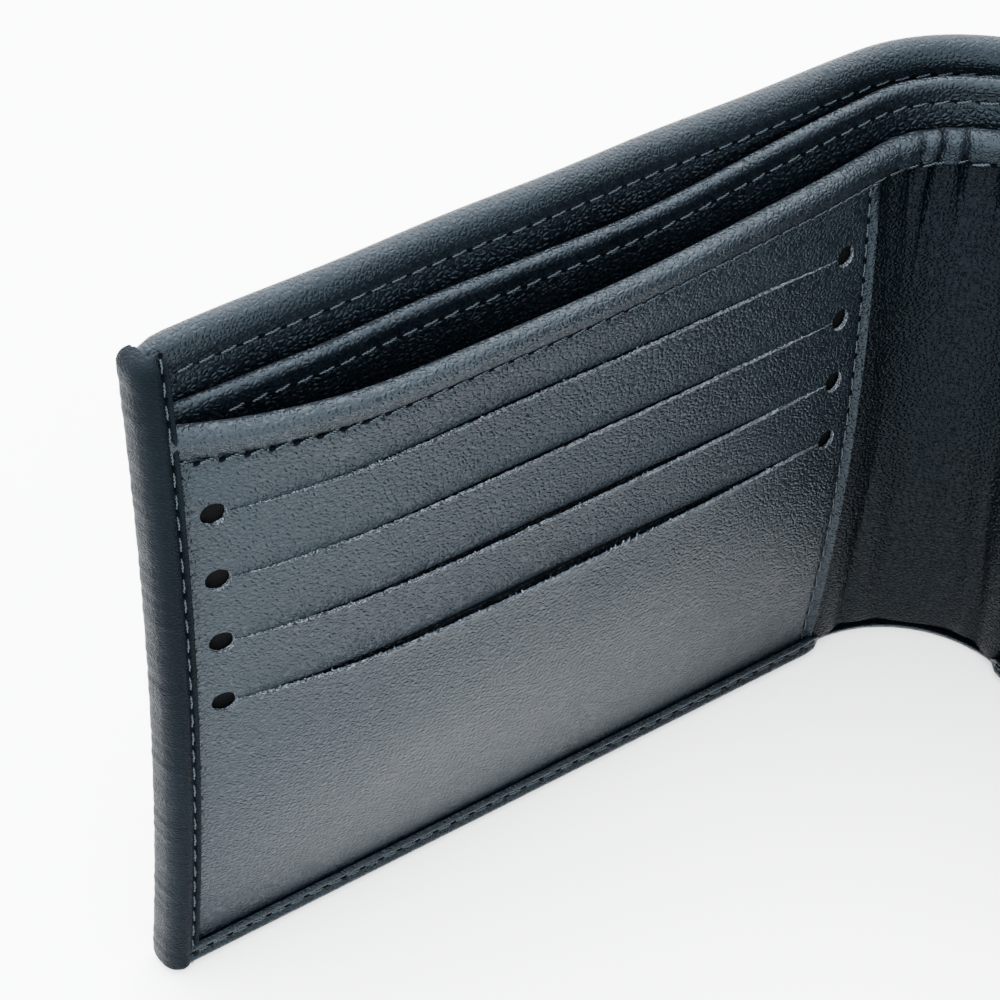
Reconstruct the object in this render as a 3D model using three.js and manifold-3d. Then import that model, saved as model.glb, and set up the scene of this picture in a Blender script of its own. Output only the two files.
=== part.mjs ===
// Trifold wallet in soft leather, standing on its lower edge and half open.
// Millimetres and degrees, +Z up. Two pocket leaves are joined by a broad rounded spine, and a
// card flap folds in on a narrow second spine. Every leaf is a stack of thin sheets sewn at its edges.
import * as THREE from 'three';
import { mergeVertices } from 'three/addons/utils/BufferGeometryUtils.js';
import Module from 'manifold-3d';

const wasm = await Module();
wasm.setup();

// ---------------------------------------------------------------- overall sizes
const LEAF_WIDTH = 104;        // spine crease to the outer edge of a leaf
const LEAF_HEIGHT = 92;        // lower edge to the rolled top of the shell
const DIVIDER_DROP = 6.5;      // rolled top of the shell down to the bill divider's outer corner
const DIVIDER_RISE = 1.5;      // how much higher the divider stands at the spine
const POCKET_DROP = 9.4;       // rolled top of the shell down to the mouth of the card pocket
const SPINE_RADIUS = 16;       // bend of the spine, measured at the front of the sewn edges
const SPINE_ANGLE = 90;        // turn of the spine from leaf to leaf, as the wallet stands

// ---------------------------------------------------------------- sheets
const SHELL = 0.9;             // outer leather
const LINING = 0.3;            // pebbled lining of the back bill pocket
const DIVIDER = 0.35;
const WALL = 0.35;             // leather wall between the front bill pocket and the cards
const SLEEVE = 0.2;            // fabric card sleeves
const PANEL = 0.6;             // leather card panel
const TURN = 0.6;              // skived leather turned over an edge
const PLY_GAP = 0.2;           // air between two sheets
const THREAD = 0.4;            // sewing thread
const THREAD_GAP = 0.15;       // thread to the leather below it

// ---------------------------------------------------------------- edges and seams
const SIDE_TURN = 3.2;         // width of the leather turned over the outer edge
const BOTTOM_TURN = 3.4;
const TOP_TURN = 5.4;
const POCKET_HEM = 5.8;
const DIVIDER_HEM = 4;
const DIVIDER_HEM_THICK = 0.6;
const HEM_RAMP = 0.6;          // height over which a hem thickens
const EDGE_WALL = 0.9;         // leather at the end of a turned edge
const STITCH_INSET = 0.8;      // thread line to the edge of the turned leather
const SEAM_INSET = 2;          // spine crease to the cut edge of the card panel
const SEAM_THREAD_INSET = 1.6; // cut edge of the card panel to its thread
const THREAD_STOP = 9;         // the divider's thread ends this far from the outer edge's turn

// ---------------------------------------------------------------- shape of the open wallet
const LEAF_HOLLOW = 3;         // each leaf bows inward at mid height
const BELLY = 4.7;             // the card pocket stands out in its middle
const BELLY_HEIGHT = 40;       // height at which it is full
const FLARE = 2.8;             // extra lean of its open top
const FLARE_POWER = 12;
const HUMP_SKEW = 1.5;         // puts the fullest place towards the outer edge
const SHELL_OPEN = 1.65;       // the shell leans out at the spine
const DIVIDER_OPEN = 0.9;      // the divider leans back at the spine
const DIVIDER_BELLY = 1.1;     // and forward in mid leaf
const SPINE_WALL_STEP = 0.8;   // the spine lining stands forward of the pocket wall
const SPINE_WALL_FOOT = 1.8;   // and hangs clear of the table

// ---------------------------------------------------------------- card slits
const SLITS = 4;
const SLIT_DROP = 12.3;        // mouth of the card pocket down to the upper slit
const SLIT_PITCH = 8.9;
const SLIT_LENGTH = 90;        // between the centres of its round ends
const SLIT_WIDTH = 0.5;
const SLIT_END_RADIUS = 1.45;
const SLIT_FROM_EDGE = 6.45;   // outer edge of the leaf to the first round end
const SLIT_STEPS = 3;          // segments in each quarter of a round end
const SLEEVE_INSET = 1.8;      // centre of a round end to the side of the sleeve
const SLEEVE_CLEAR = 0.8;      // sleeve to the slit above and below it
const SLEEVE_FOOT = 8;

// ---------------------------------------------------------------- folds
const FOLD_AXIS = -1.8;        // depth of the spine creases within the stack
const FOLD_TRAVEL = 46;        // largest turn that a crease leaves room for
const HINGE_GAP = 0.4;         // air at a crease, as the wallet stands

// ---------------------------------------------------------------- card flap
const FLAP_FOOT = 1.5;         // the flap hangs clear of the table, and stops as far below the top
const FLAP_STANDOFF = 3.2;     // outer edge of the leaf to the first flap crease
const FLAP_SPINE = 17.5;       // width of the second spine
const FLAP_SHORT = 1.5;        // folded in, the flap ends this far from the first spine's crease
const FLAP_REST = 17.5;        // bend at each flap crease, as the wallet stands
const FLAP_TRAVEL = 90;        // largest turn at each flap crease
const TAB_OVERLAP = 8;         // hinge leather sewn to the back of the leaf
const TAB_THREAD = 5.5;        // its thread, in from the outer edge
const WINDOW_SIDE = 13.5;      // leather beside the window
const WINDOW_ABOVE = 18.5;     // leather above and below it
const WINDOW_RADIUS = 4;
const WINDOW_LAP = 5;          // clear sheet sewn behind the frame
const WINDOW_SHEET = 0.3;
const WINDOW_CORNER_STEPS = 4;
const THUMB_RADIUS = 9;        // half-round notch to push a card out
const THUMB_STEPS = 6;

const TURN_STEP = 0.05;        // a turned edge steps from flange to end wall within this
const LEAF_STEPS = 9;          // facets along a leaf
const SPINE_STEPS = 6;         // facets round the spine
const BELLY_STEPS = 4;         // facets up the rounded foot of the pocket
const LINE_CLEAR = 0.5;        // a facet line nearer than this to a sheet's end is left out
const CUT_MARGIN = 20;         // cutters run this far past the leather

const DIVIDER_TOP = LEAF_HEIGHT - DIVIDER_DROP;
const POCKET_TOP = LEAF_HEIGHT - POCKET_DROP;
const SLIT_TOP = POCKET_TOP - SLIT_DROP;
const SLEEVE_WIDTH = SLIT_LENGTH - 2 * SLEEVE_INSET;
const FLAP_WIDTH = LEAF_WIDTH - FLAP_SPINE - FLAP_SHORT;
const FLAP_HEIGHT = LEAF_HEIGHT - 2 * FLAP_FOOT;
const WINDOW_WIDTH = FLAP_WIDTH - 2 * WINDOW_SIDE;
const WINDOW_HEIGHT = FLAP_HEIGHT - 2 * WINDOW_ABOVE;

// Depth of each sheet at the sewn edges: 0 is the front of the turned edges, negative is outward.
const depth = {};
let level = 0;
for (const [name, thick] of [
  ['turn', TURN], ['panel', PANEL], ['sleeve', SLEEVE], ['wall', WALL],
  ['divider', DIVIDER_HEM_THICK], ['lining', LINING], ['shell', SHELL],
]) {
  depth[name] = { front: level, back: level - thick };
  level -= thick + PLY_GAP;
}

// ---------------------------------------------------------------- materials
function leather(color, roughness) {
  return new THREE.MeshStandardMaterial({ color, roughness, metalness: 0 });
}
const outerLeather = leather(0x22282e, 0.5);
const innerLeather = leather(0x272e34, 0.48);
const pebbledLining = leather(0x1c2227, 0.55);
const sleeveFabric = new THREE.MeshStandardMaterial({ color: 0x15181b, roughness: 0.9, metalness: 0 });
const blackThread = new THREE.MeshStandardMaterial({ color: 0x14171a, roughness: 0.7, metalness: 0 });
const clearVinyl = new THREE.MeshStandardMaterial({
  color: 0xdfe6ea, roughness: 0.15, metalness: 0, transparent: true, opacity: 0.3,
});

// ---------------------------------------------------------------- helpers
const clamp = THREE.MathUtils.clamp;

function evenly(from, to, steps) {
  return Array.from({ length: steps + 1 }, (_, i) => from + ((to - from) * i) / steps);
}

// All sheets share one grid of facet lines, so that neighbours bend together and keep their gaps.
const HEM_LINE = POCKET_TOP - POCKET_HEM;
const TURN_START = LEAF_WIDTH - SIDE_TURN;
const X_LINES = [...evenly(0, TURN_START, LEAF_STEPS), LEAF_WIDTH];
const Z_LINES = [
  0, ...evenly(BOTTOM_TURN, BELLY_HEIGHT, BELLY_STEPS), (BELLY_HEIGHT + HEM_LINE) / 2, HEM_LINE,
  POCKET_TOP, LEAF_HEIGHT,
];

function between(lines, from, to) {
  return lines.filter((line) => line > from + LINE_CLEAR && line < to - LINE_CLEAR);
}

const stations = (from, to) => [from, ...between(X_LINES, from, to), to];
const rows = (from, to) => [from, ...between(Z_LINES, from, to), to];

/** Index of the cell that holds a value, and how far through it the value is. */
function cell(lines, value) {
  const last = lines.length - 2;
  const i = clamp(lines.findIndex((line) => line > value) - 1, 0, last);
  const k = value >= lines[lines.length - 1] ? last : i;
  return [k, clamp((value - lines[k]) / (lines[k + 1] - lines[k]), 0, 1)];
}

/** The same surface with flat facets between the grid's lines. */
function faceted(surface) {
  const table = X_LINES.map((x) => Z_LINES.map((z) => surface(x, z)));
  return (x, z) => {
    const [i, fx] = cell(X_LINES, x);
    const [j, fz] = cell(Z_LINES, z);
    const low = THREE.MathUtils.lerp(table[i][j], table[i + 1][j], fx);
    const high = THREE.MathUtils.lerp(table[i][j + 1], table[i + 1][j + 1], fx);
    return THREE.MathUtils.lerp(low, high, fz);
  };
}

/**
 * Closed solid between two depth surfaces. place turns (x, depth, z) into a point;
 * xs are stations across the sheet, zs(x) its row heights, back and front its two depths.
 */
function sheet(place, xs, zs, back, front) {
  const columns = xs.map((x) => zs(x));
  const across = xs.length;
  const up = columns[0].length;
  const points = [];
  for (const face of [back, front]) {
    xs.forEach((x, i) => columns[i].forEach((z) => points.push(place(x, face(x, z), z))));
  }
  const id = (side, i, j) => side * across * up + i * up + j;
  const index = [];
  const quad = (a, b, c, d) => index.push(a, b, c, a, c, d);
  for (let i = 0; i + 1 < across; i++) {
    for (let j = 0; j + 1 < up; j++) {
      quad(id(0, i, j), id(0, i, j + 1), id(0, i + 1, j + 1), id(0, i + 1, j));
      quad(id(1, i, j), id(1, i + 1, j), id(1, i + 1, j + 1), id(1, i, j + 1));
    }
    quad(id(0, i, 0), id(0, i + 1, 0), id(1, i + 1, 0), id(1, i, 0));
    quad(id(0, i, up - 1), id(1, i, up - 1), id(1, i + 1, up - 1), id(0, i + 1, up - 1));
  }
  for (let j = 0; j + 1 < up; j++) {
    quad(id(0, 0, j), id(1, 0, j), id(1, 0, j + 1), id(0, 0, j + 1));
    quad(id(0, across - 1, j), id(0, across - 1, j + 1), id(1, across - 1, j + 1), id(1, across - 1, j));
  }
  const geometry = new THREE.BufferGeometry();
  geometry.setAttribute('position', new THREE.Float32BufferAttribute(points.flat(), 3));
  geometry.setIndex(index);
  return outward(geometry);
}

/** Six times the enclosed volume, negative when the faces point in. */
function signedVolume(geometry) {
  const p = geometry.attributes.position;
  const corner = [new THREE.Vector3(), new THREE.Vector3(), new THREE.Vector3()];
  let sum = 0;
  for (let i = 0; i < geometry.index.count; i += 3) {
    corner.forEach((v, k) => v.fromBufferAttribute(p, geometry.index.getX(i + k)));
    sum += corner[0].dot(corner[1].clone().cross(corner[2]));
  }
  return sum;
}

function outward(geometry) {
  if (signedVolume(geometry) < 0) {
    const index = geometry.index.array;
    for (let i = 0; i < index.length; i += 3) [index[i], index[i + 1]] = [index[i + 1], index[i]];
  }
  return geometry;
}

function toManifold(geometry) {
  let g = geometry.clone();
  g.deleteAttribute('normal');
  g.deleteAttribute('uv');
  g = mergeVertices(g.index ? g : g.toNonIndexed(), 1e-5);
  return new wasm.Manifold(new wasm.Mesh({
    numProp: 3,
    vertProperties: new Float32Array(g.attributes.position.array),
    triVerts: new Uint32Array(g.index.array),
  }));
}

function fromManifold(solid) {
  const mesh = solid.getMesh();
  const geometry = new THREE.BufferGeometry();
  geometry.setAttribute('position', new THREE.BufferAttribute(new Float32Array(mesh.vertProperties), 3));
  geometry.setIndex(new THREE.BufferAttribute(new Uint32Array(mesh.triVerts), 1));
  return geometry;
}

function add(group, name, geometry, material) {
  const mesh = new THREE.Mesh(geometry, material);
  mesh.name = name;
  group.add(mesh);
}

const share = (x) => clamp(x / TURN_START, 0, 1);
const hollowAt = faceted((_, z) => LEAF_HOLLOW * 4 * (z / LEAF_HEIGHT) * (1 - z / LEAF_HEIGHT));
const hollow = (z) => hollowAt(0, z);
const belly = (z) => clamp((z - BOTTOM_TURN) / (BELLY_HEIGHT - BOTTOM_TURN), 0, 1);
const hump = (x) => Math.sin(Math.PI * share(x) ** HUMP_SKEW);

/** How far each layer is moved by the wallet's open shape, on top of the sewn stack. */
const pocketLean = faceted((x, z) => hump(x) * (
  BELLY * Math.sin((Math.PI / 2) * belly(z))
  + FLARE * Math.min(1, z / POCKET_TOP) ** FLARE_POWER));
const dividerLean = faceted((x, z) => (z / LEAF_HEIGHT) ** 2
  * (DIVIDER_BELLY * hump(x) - DIVIDER_OPEN * (1 - share(x)) ** 2));
const shellLean = faceted((x, z) => -SHELL_OPEN * (1 - share(x) ** 2) * (z / LEAF_HEIGHT) ** 2);

/** Room that a layer leaves at a crease so that it can turn both ways about the fold axis. */
function creaseRoom(low, high, axis, travel) {
  const reach = Math.max(Math.abs(low - axis), Math.abs(high - axis));
  return HINGE_GAP / 2 + reach * Math.tan(THREE.MathUtils.degToRad(travel / 2));
}

const dividerTop = (x) => DIVIDER_TOP + DIVIDER_RISE * (1 - share(x));
const TURN_LINE = LEAF_HEIGHT - TOP_TURN;
const turnBack = depth.lining.front + PLY_GAP;

/** The sheets of a leaf or of the spine that run along the whole wallet, as layer functions. */
const layers = {
  shell: {
    rows: () => rows(0, LEAF_HEIGHT),
    back: (x, z) => depth.shell.back + shellLean(x, z),
    front: (x, z) => depth.shell.front + shellLean(x, z),
  },
  lining: {
    rows: () => rows(EDGE_WALL + PLY_GAP, LEAF_HEIGHT - EDGE_WALL - PLY_GAP),
    back: (x, z) => depth.lining.back + shellLean(x, z),
    front: (x, z) => depth.lining.front + shellLean(x, z),
  },
  topTurn: {
    rows: () => [
      TURN_LINE, LEAF_HEIGHT - EDGE_WALL - TURN_STEP, LEAF_HEIGHT - EDGE_WALL, LEAF_HEIGHT,
    ],
    back: (x, z) => (z < LEAF_HEIGHT - EDGE_WALL ? turnBack : depth.lining.back) + shellLean(x, z),
    front: (x, z) => turnBack + TURN / 2 + shellLean(x, z),
  },
  divider: {
    rows: (x) => {
      const top = dividerTop(x);
      return [...rows(EDGE_WALL + PLY_GAP, HEM_LINE), top - DIVIDER_HEM - HEM_RAMP, top - DIVIDER_HEM, top];
    },
    back: (x, z) => depth.divider.back + dividerLean(x, z),
    front: (x, z) => depth.divider.back + dividerLean(x, z)
      + (z > dividerTop(x) - DIVIDER_HEM - HEM_RAMP / 2 ? DIVIDER_HEM_THICK : DIVIDER),
  },
};

// ---------------------------------------------------------------- a pocket leaf
/** Cutter for one card slit: a narrow slot with a round hole at each end. */
function slitCutter(place, z) {
  const start = LEAF_WIDTH - SLIT_FROM_EDGE;
  const end = start - SLIT_LENGTH;
  const open = Math.asin(SLIT_WIDTH / 2 / SLIT_END_RADIUS);
  const shape = new THREE.Shape();
  shape.absarc(start, z, SLIT_END_RADIUS, -Math.PI + open, Math.PI - open, false);
  shape.absarc(end, z, SLIT_END_RADIUS, open, 2 * Math.PI - open, false);
  const geometry = new THREE.ExtrudeGeometry(shape, {
    depth: 2 * CUT_MARGIN, bevelEnabled: false, curveSegments: 2 * SLIT_STEPS,
  });
  const p = geometry.attributes.position;
  for (let i = 0; i < p.count; i++) {
    p.setXYZ(i, ...place(p.getX(i), p.getZ(i) - CUT_MARGIN, p.getY(i)));
  }
  geometry.setIndex([...Array(p.count).keys()]);
  return outward(geometry);
}

function buildLeaf(group, prefix, place) {
  const bowed = (x, v, z) => place(x, v + hollow(z), z);
  const leafStations = (start) => stations(start, LEAF_WIDTH - EDGE_WALL - PLY_GAP);
  const room = (low, high) => creaseRoom(low, high + LEAF_HOLLOW, FOLD_AXIS, FOLD_TRAVEL);
  const make = (name, xs, layer, material) => add(
    group, `${prefix}_${name}`, sheet(bowed, xs, layer.rows, layer.back, layer.front), material);

  const shellStart = room(depth.shell.back - SHELL_OPEN, depth.shell.front);
  const innerStart = room(depth.lining.back - SHELL_OPEN, depth.wall.front);
  make('shell', stations(shellStart, LEAF_WIDTH), layers.shell, outerLeather);
  make('shell_lining', leafStations(innerStart), layers.lining, pebbledLining);
  make('divider', leafStations(innerStart), layers.divider, pebbledLining);

  const topEnd = TURN_START - PLY_GAP;
  make('top_turned_edge', stations(innerStart, topEnd), layers.topTurn, outerLeather);

  const wallBottom = EDGE_WALL + PLY_GAP;
  make('pocket_wall', leafStations(innerStart), {
    rows: () => [...rows(wallBottom, HEM_LINE), HEM_LINE + HEM_RAMP, POCKET_TOP],
    back: (x, z) => depth.wall.back + pocketLean(x, z),
    front: (x, z) => pocketLean(x, z) + (z > HEM_LINE ? depth.panel.front : depth.wall.front),
  }, innerLeather);

  const panelTop = HEM_LINE - PLY_GAP;
  const panelRows = () => rows(wallBottom, panelTop);
  const panelEnd = LEAF_WIDTH - EDGE_WALL - PLY_GAP;
  const panelSheet = sheet(
    bowed, stations(SEAM_INSET, panelEnd), panelRows,
    (x, z) => depth.panel.back + pocketLean(x, z), (x, z) => depth.panel.front + pocketLean(x, z));
  let panel = toManifold(panelSheet);
  for (let k = 0; k < SLITS; k++) {
    panel = panel.subtract(toManifold(slitCutter(place, SLIT_TOP - k * SLIT_PITCH)));
  }
  add(group, `${prefix}_card_panel`, fromManifold(panel), innerLeather);

  const sleeveMiddle = LEAF_WIDTH - SLIT_FROM_EDGE - SLIT_LENGTH / 2;
  for (let k = 0; k < SLITS; k++) {
    const top = SLIT_TOP - k * SLIT_PITCH - SLEEVE_CLEAR;
    const foot = k + 1 < SLITS ? top - SLIT_PITCH + 2 * SLEEVE_CLEAR : SLEEVE_FOOT;
    make(`card_sleeve_${k + 1}`, stations(
      sleeveMiddle - SLEEVE_WIDTH / 2, sleeveMiddle + SLEEVE_WIDTH / 2,
    ), {
      rows: () => rows(foot, top),
      back: (x, z) => depth.sleeve.back + pocketLean(x, z),
      front: (x, z) => depth.sleeve.front + pocketLean(x, z),
    }, sleeveFabric);
  }

  // Leather turned over the outer edge and over the lower edge, to the inside.
  const wallDepth = depth.shell.front + PLY_GAP;
  const sideStep = LEAF_WIDTH - EDGE_WALL;
  make('side_turned_edge', [TURN_START, sideStep - TURN_STEP, sideStep, LEAF_WIDTH], {
    rows: () => rows(0, LEAF_HEIGHT),
    back: (x) => (x < sideStep ? depth.turn.back : wallDepth),
    front: () => depth.turn.front,
  }, outerLeather);
  const bottomEnd = TURN_START - PLY_GAP;
  make('bottom_turned_edge', stations(SEAM_INSET, bottomEnd), {
    rows: () => [0, EDGE_WALL, EDGE_WALL + TURN_STEP, BOTTOM_TURN],
    back: (x, z) => (z > EDGE_WALL ? depth.turn.back : wallDepth),
    front: () => depth.turn.front,
  }, outerLeather);

  // Sewing threads.
  const alongX = (name, from, to, z, surface) => make(name, stations(from, to), {
    rows: (x) => [z(x) - THREAD / 2, z(x) + THREAD / 2],
    back: (x) => surface(x, z(x)) + THREAD_GAP,
    front: (x) => surface(x, z(x)) + THREAD_GAP + THREAD,
  }, blackThread);
  const alongZ = (name, x, from, to, surface) => make(name, [x - THREAD / 2, x + THREAD / 2], {
    rows: () => rows(from, to),
    back: (_, z) => surface(x, z) + THREAD_GAP,
    front: (_, z) => surface(x, z) + THREAD_GAP + THREAD,
  }, blackThread);
  const onTurn = () => depth.turn.front;
  const onPanel = (x, z) => depth.panel.front + pocketLean(x, z);
  alongZ('side_thread', TURN_START + STITCH_INSET, BOTTOM_TURN, LEAF_HEIGHT - STITCH_INSET, onTurn);
  alongX('bottom_thread', SEAM_INSET, bottomEnd, () => BOTTOM_TURN - STITCH_INSET, onTurn);
  alongZ('seam_thread', SEAM_INSET + SEAM_THREAD_INSET, BOTTOM_TURN + PLY_GAP, panelTop, onPanel);
  alongX('pocket_thread', innerStart, bottomEnd, () => HEM_LINE + HEM_RAMP + STITCH_INSET, onPanel);
  alongX(
    'divider_thread', innerStart, TURN_START - THREAD_STOP, (x) => dividerTop(x) - DIVIDER_HEM + STITCH_INSET,
    (x, z) => depth.divider.back + DIVIDER_HEM_THICK + dividerLean(x, z));
  alongX(
    'top_thread', innerStart, bottomEnd, () => TURN_LINE + STITCH_INSET,
    (x, z) => turnBack + TURN / 2 + shellLean(x, z));
}

// ---------------------------------------------------------------- the spine
function buildSpine(group) {
  /** x is an angle in degrees round the bend; the leaves' own layers end at share 0. */
  const bent = (angle, v, z) => {
    const radius = SPINE_RADIUS - v - hollow(z);
    const turn = THREE.MathUtils.degToRad(angle);
    return [radius * Math.sin(turn), radius * Math.cos(turn), z];
  };
  const angles = (low, high) => {
    const room = creaseRoom(low, high + LEAF_HOLLOW, FOLD_AXIS, FOLD_TRAVEL);
    const start = THREE.MathUtils.radToDeg(Math.asin(room / (SPINE_RADIUS - high - LEAF_HOLLOW)));
    return evenly(start, SPINE_ANGLE - start, SPINE_STEPS);
  };
  const make = (name, xs, layer, material) => add(group, `spine_${name}`, sheet(
    bent, xs, () => layer.rows(0), (_, z) => layer.back(0, z), (_, z) => layer.front(0, z)), material);

  const outer = angles(depth.shell.back - SHELL_OPEN, depth.shell.front);
  const inner = angles(depth.lining.back - SHELL_OPEN, depth.wall.front + SPINE_WALL_STEP);
  make('shell', outer, layers.shell, outerLeather);
  make('shell_lining', inner, layers.lining, pebbledLining);
  make('top_turned_edge', inner, layers.topTurn, outerLeather);
  make('divider', inner, layers.divider, pebbledLining);
  const gatheredFront = depth.wall.front + SPINE_WALL_STEP;
  make('gathered_lining', inner, {
    rows: () => [...rows(SPINE_WALL_FOOT, HEM_LINE), HEM_LINE + HEM_RAMP, POCKET_TOP],
    back: () => depth.wall.back + SPINE_WALL_STEP,
    front: (_, z) => gatheredFront + (z > HEM_LINE ? WALL : 0),
  }, innerLeather);

  const thread = (name, z, surface) => make(name, inner, {
    rows: () => [z - THREAD / 2, z + THREAD / 2],
    back: () => surface(z) + THREAD_GAP,
    front: () => surface(z) + THREAD_GAP + THREAD,
  }, blackThread);
  thread('pocket_thread', HEM_LINE + HEM_RAMP + STITCH_INSET, () => gatheredFront + WALL);
  thread(
    'divider_thread', dividerTop(0) - DIVIDER_HEM + STITCH_INSET,
    (z) => depth.divider.back + DIVIDER_HEM_THICK + dividerLean(0, z));
  thread('top_thread', TURN_LINE + STITCH_INSET, (z) => turnBack + TURN / 2 + shellLean(0, z));
}

// ---------------------------------------------------------------- the card flap
const flapPlace = (x, w, z) => [-w, -x, z];
const TAB_BACK = depth.shell.back - PLY_GAP - SHELL;
const FLAP_AXIS = TAB_BACK + SHELL / 2;
const FLAP_TOP = FLAP_FOOT + FLAP_HEIGHT;
const flapRoom = (reach) => creaseRoom(0, reach, 0, FLAP_TRAVEL);

/** Hinge leather on the back of the centre leaf; its hollow fades out towards the crease. */
function buildHingeTab(group, place) {
  const start = LEAF_WIDTH - TAB_OVERLAP;
  const crease = LEAF_WIDTH + FLAP_STANDOFF;
  const fade = (x) => clamp((crease - x) / FLAP_STANDOFF, 0, 1);
  const faded = (x, v, z) => place(x, v + hollow(z) * fade(x), z);
  const end = crease - flapRoom(SHELL / 2);
  add(group, 'flap_hinge_tab', sheet(
    faded, [start, LEAF_WIDTH, end], () => rows(FLAP_FOOT, FLAP_TOP),
    () => TAB_BACK, () => TAB_BACK + SHELL), outerLeather);
  const x = LEAF_WIDTH - TAB_THREAD;
  add(group, 'flap_hinge_thread', sheet(
    faded, [x - THREAD / 2, x + THREAD / 2], () => rows(FLAP_FOOT + TOP_TURN, FLAP_TOP - TOP_TURN),
    () => TAB_BACK - THREAD_GAP - THREAD, () => TAB_BACK - THREAD_GAP), blackThread);
}

function buildFlapSpine(group) {
  const start = flapRoom(SHELL / 2);
  const liningFront = SHELL / 2 + PLY_GAP + LINING;
  const tabBow = (LEAF_HOLLOW * liningFront) / FLAP_STANDOFF; // of the hinge tab beside the crease
  const liningStart = flapRoom(SHELL / 2 + tabBow);
  const slab = (name, from, to, foot, top, back, front, material) => add(group, name, sheet(
    flapPlace, [from, to], () => [foot, top], () => back, () => front), material);
  slab(
    'flap_spine_strip', start, FLAP_SPINE - start, FLAP_FOOT, FLAP_TOP,
    -SHELL / 2, SHELL / 2, outerLeather);
  slab(
    'flap_spine_lining', liningStart, FLAP_SPINE - liningStart, FLAP_FOOT + EDGE_WALL, FLAP_TOP - EDGE_WALL,
    SHELL / 2 + PLY_GAP, liningFront, pebbledLining);
}

/** Leather frame with a rounded window and a half-round thumb notch at its foot. */
function windowFrame(from, to, foot, top, back, front) {
  const cx = (from + to) / 2;
  const cz = (foot + top) / 2;
  const [l, r] = [cx - WINDOW_WIDTH / 2, cx + WINDOW_WIDTH / 2];
  const [b, t] = [cz - WINDOW_HEIGHT / 2, cz + WINDOW_HEIGHT / 2];
  const q = WINDOW_RADIUS;
  const outline = new THREE.Shape();
  outline.moveTo(from, foot);
  outline.lineTo(to, foot);
  outline.lineTo(to, top);
  outline.lineTo(from, top);
  const hole = new THREE.Path();
  hole.absarc(r - q, t - q, q, 0, Math.PI / 2, false);
  hole.absarc(l + q, t - q, q, Math.PI / 2, Math.PI, false);
  hole.absarc(l + q, b + q, q, Math.PI, 1.5 * Math.PI, false);
  hole.absarc(cx, b, THUMB_RADIUS, Math.PI, 2 * Math.PI, false);
  hole.absarc(r - q, b + q, q, 1.5 * Math.PI, 2 * Math.PI, false);
  outline.holes.push(hole);
  const geometry = new THREE.ExtrudeGeometry(outline, {
    depth: front - back, bevelEnabled: false, curveSegments: Math.max(WINDOW_CORNER_STEPS, THUMB_STEPS),
  });
  const p = geometry.attributes.position;
  for (let i = 0; i < p.count; i++) p.setXYZ(i, ...flapPlace(p.getX(i), back + p.getZ(i), p.getY(i)));
  geometry.setIndex([...Array(p.count).keys()]);
  return outward(geometry);
}

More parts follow.
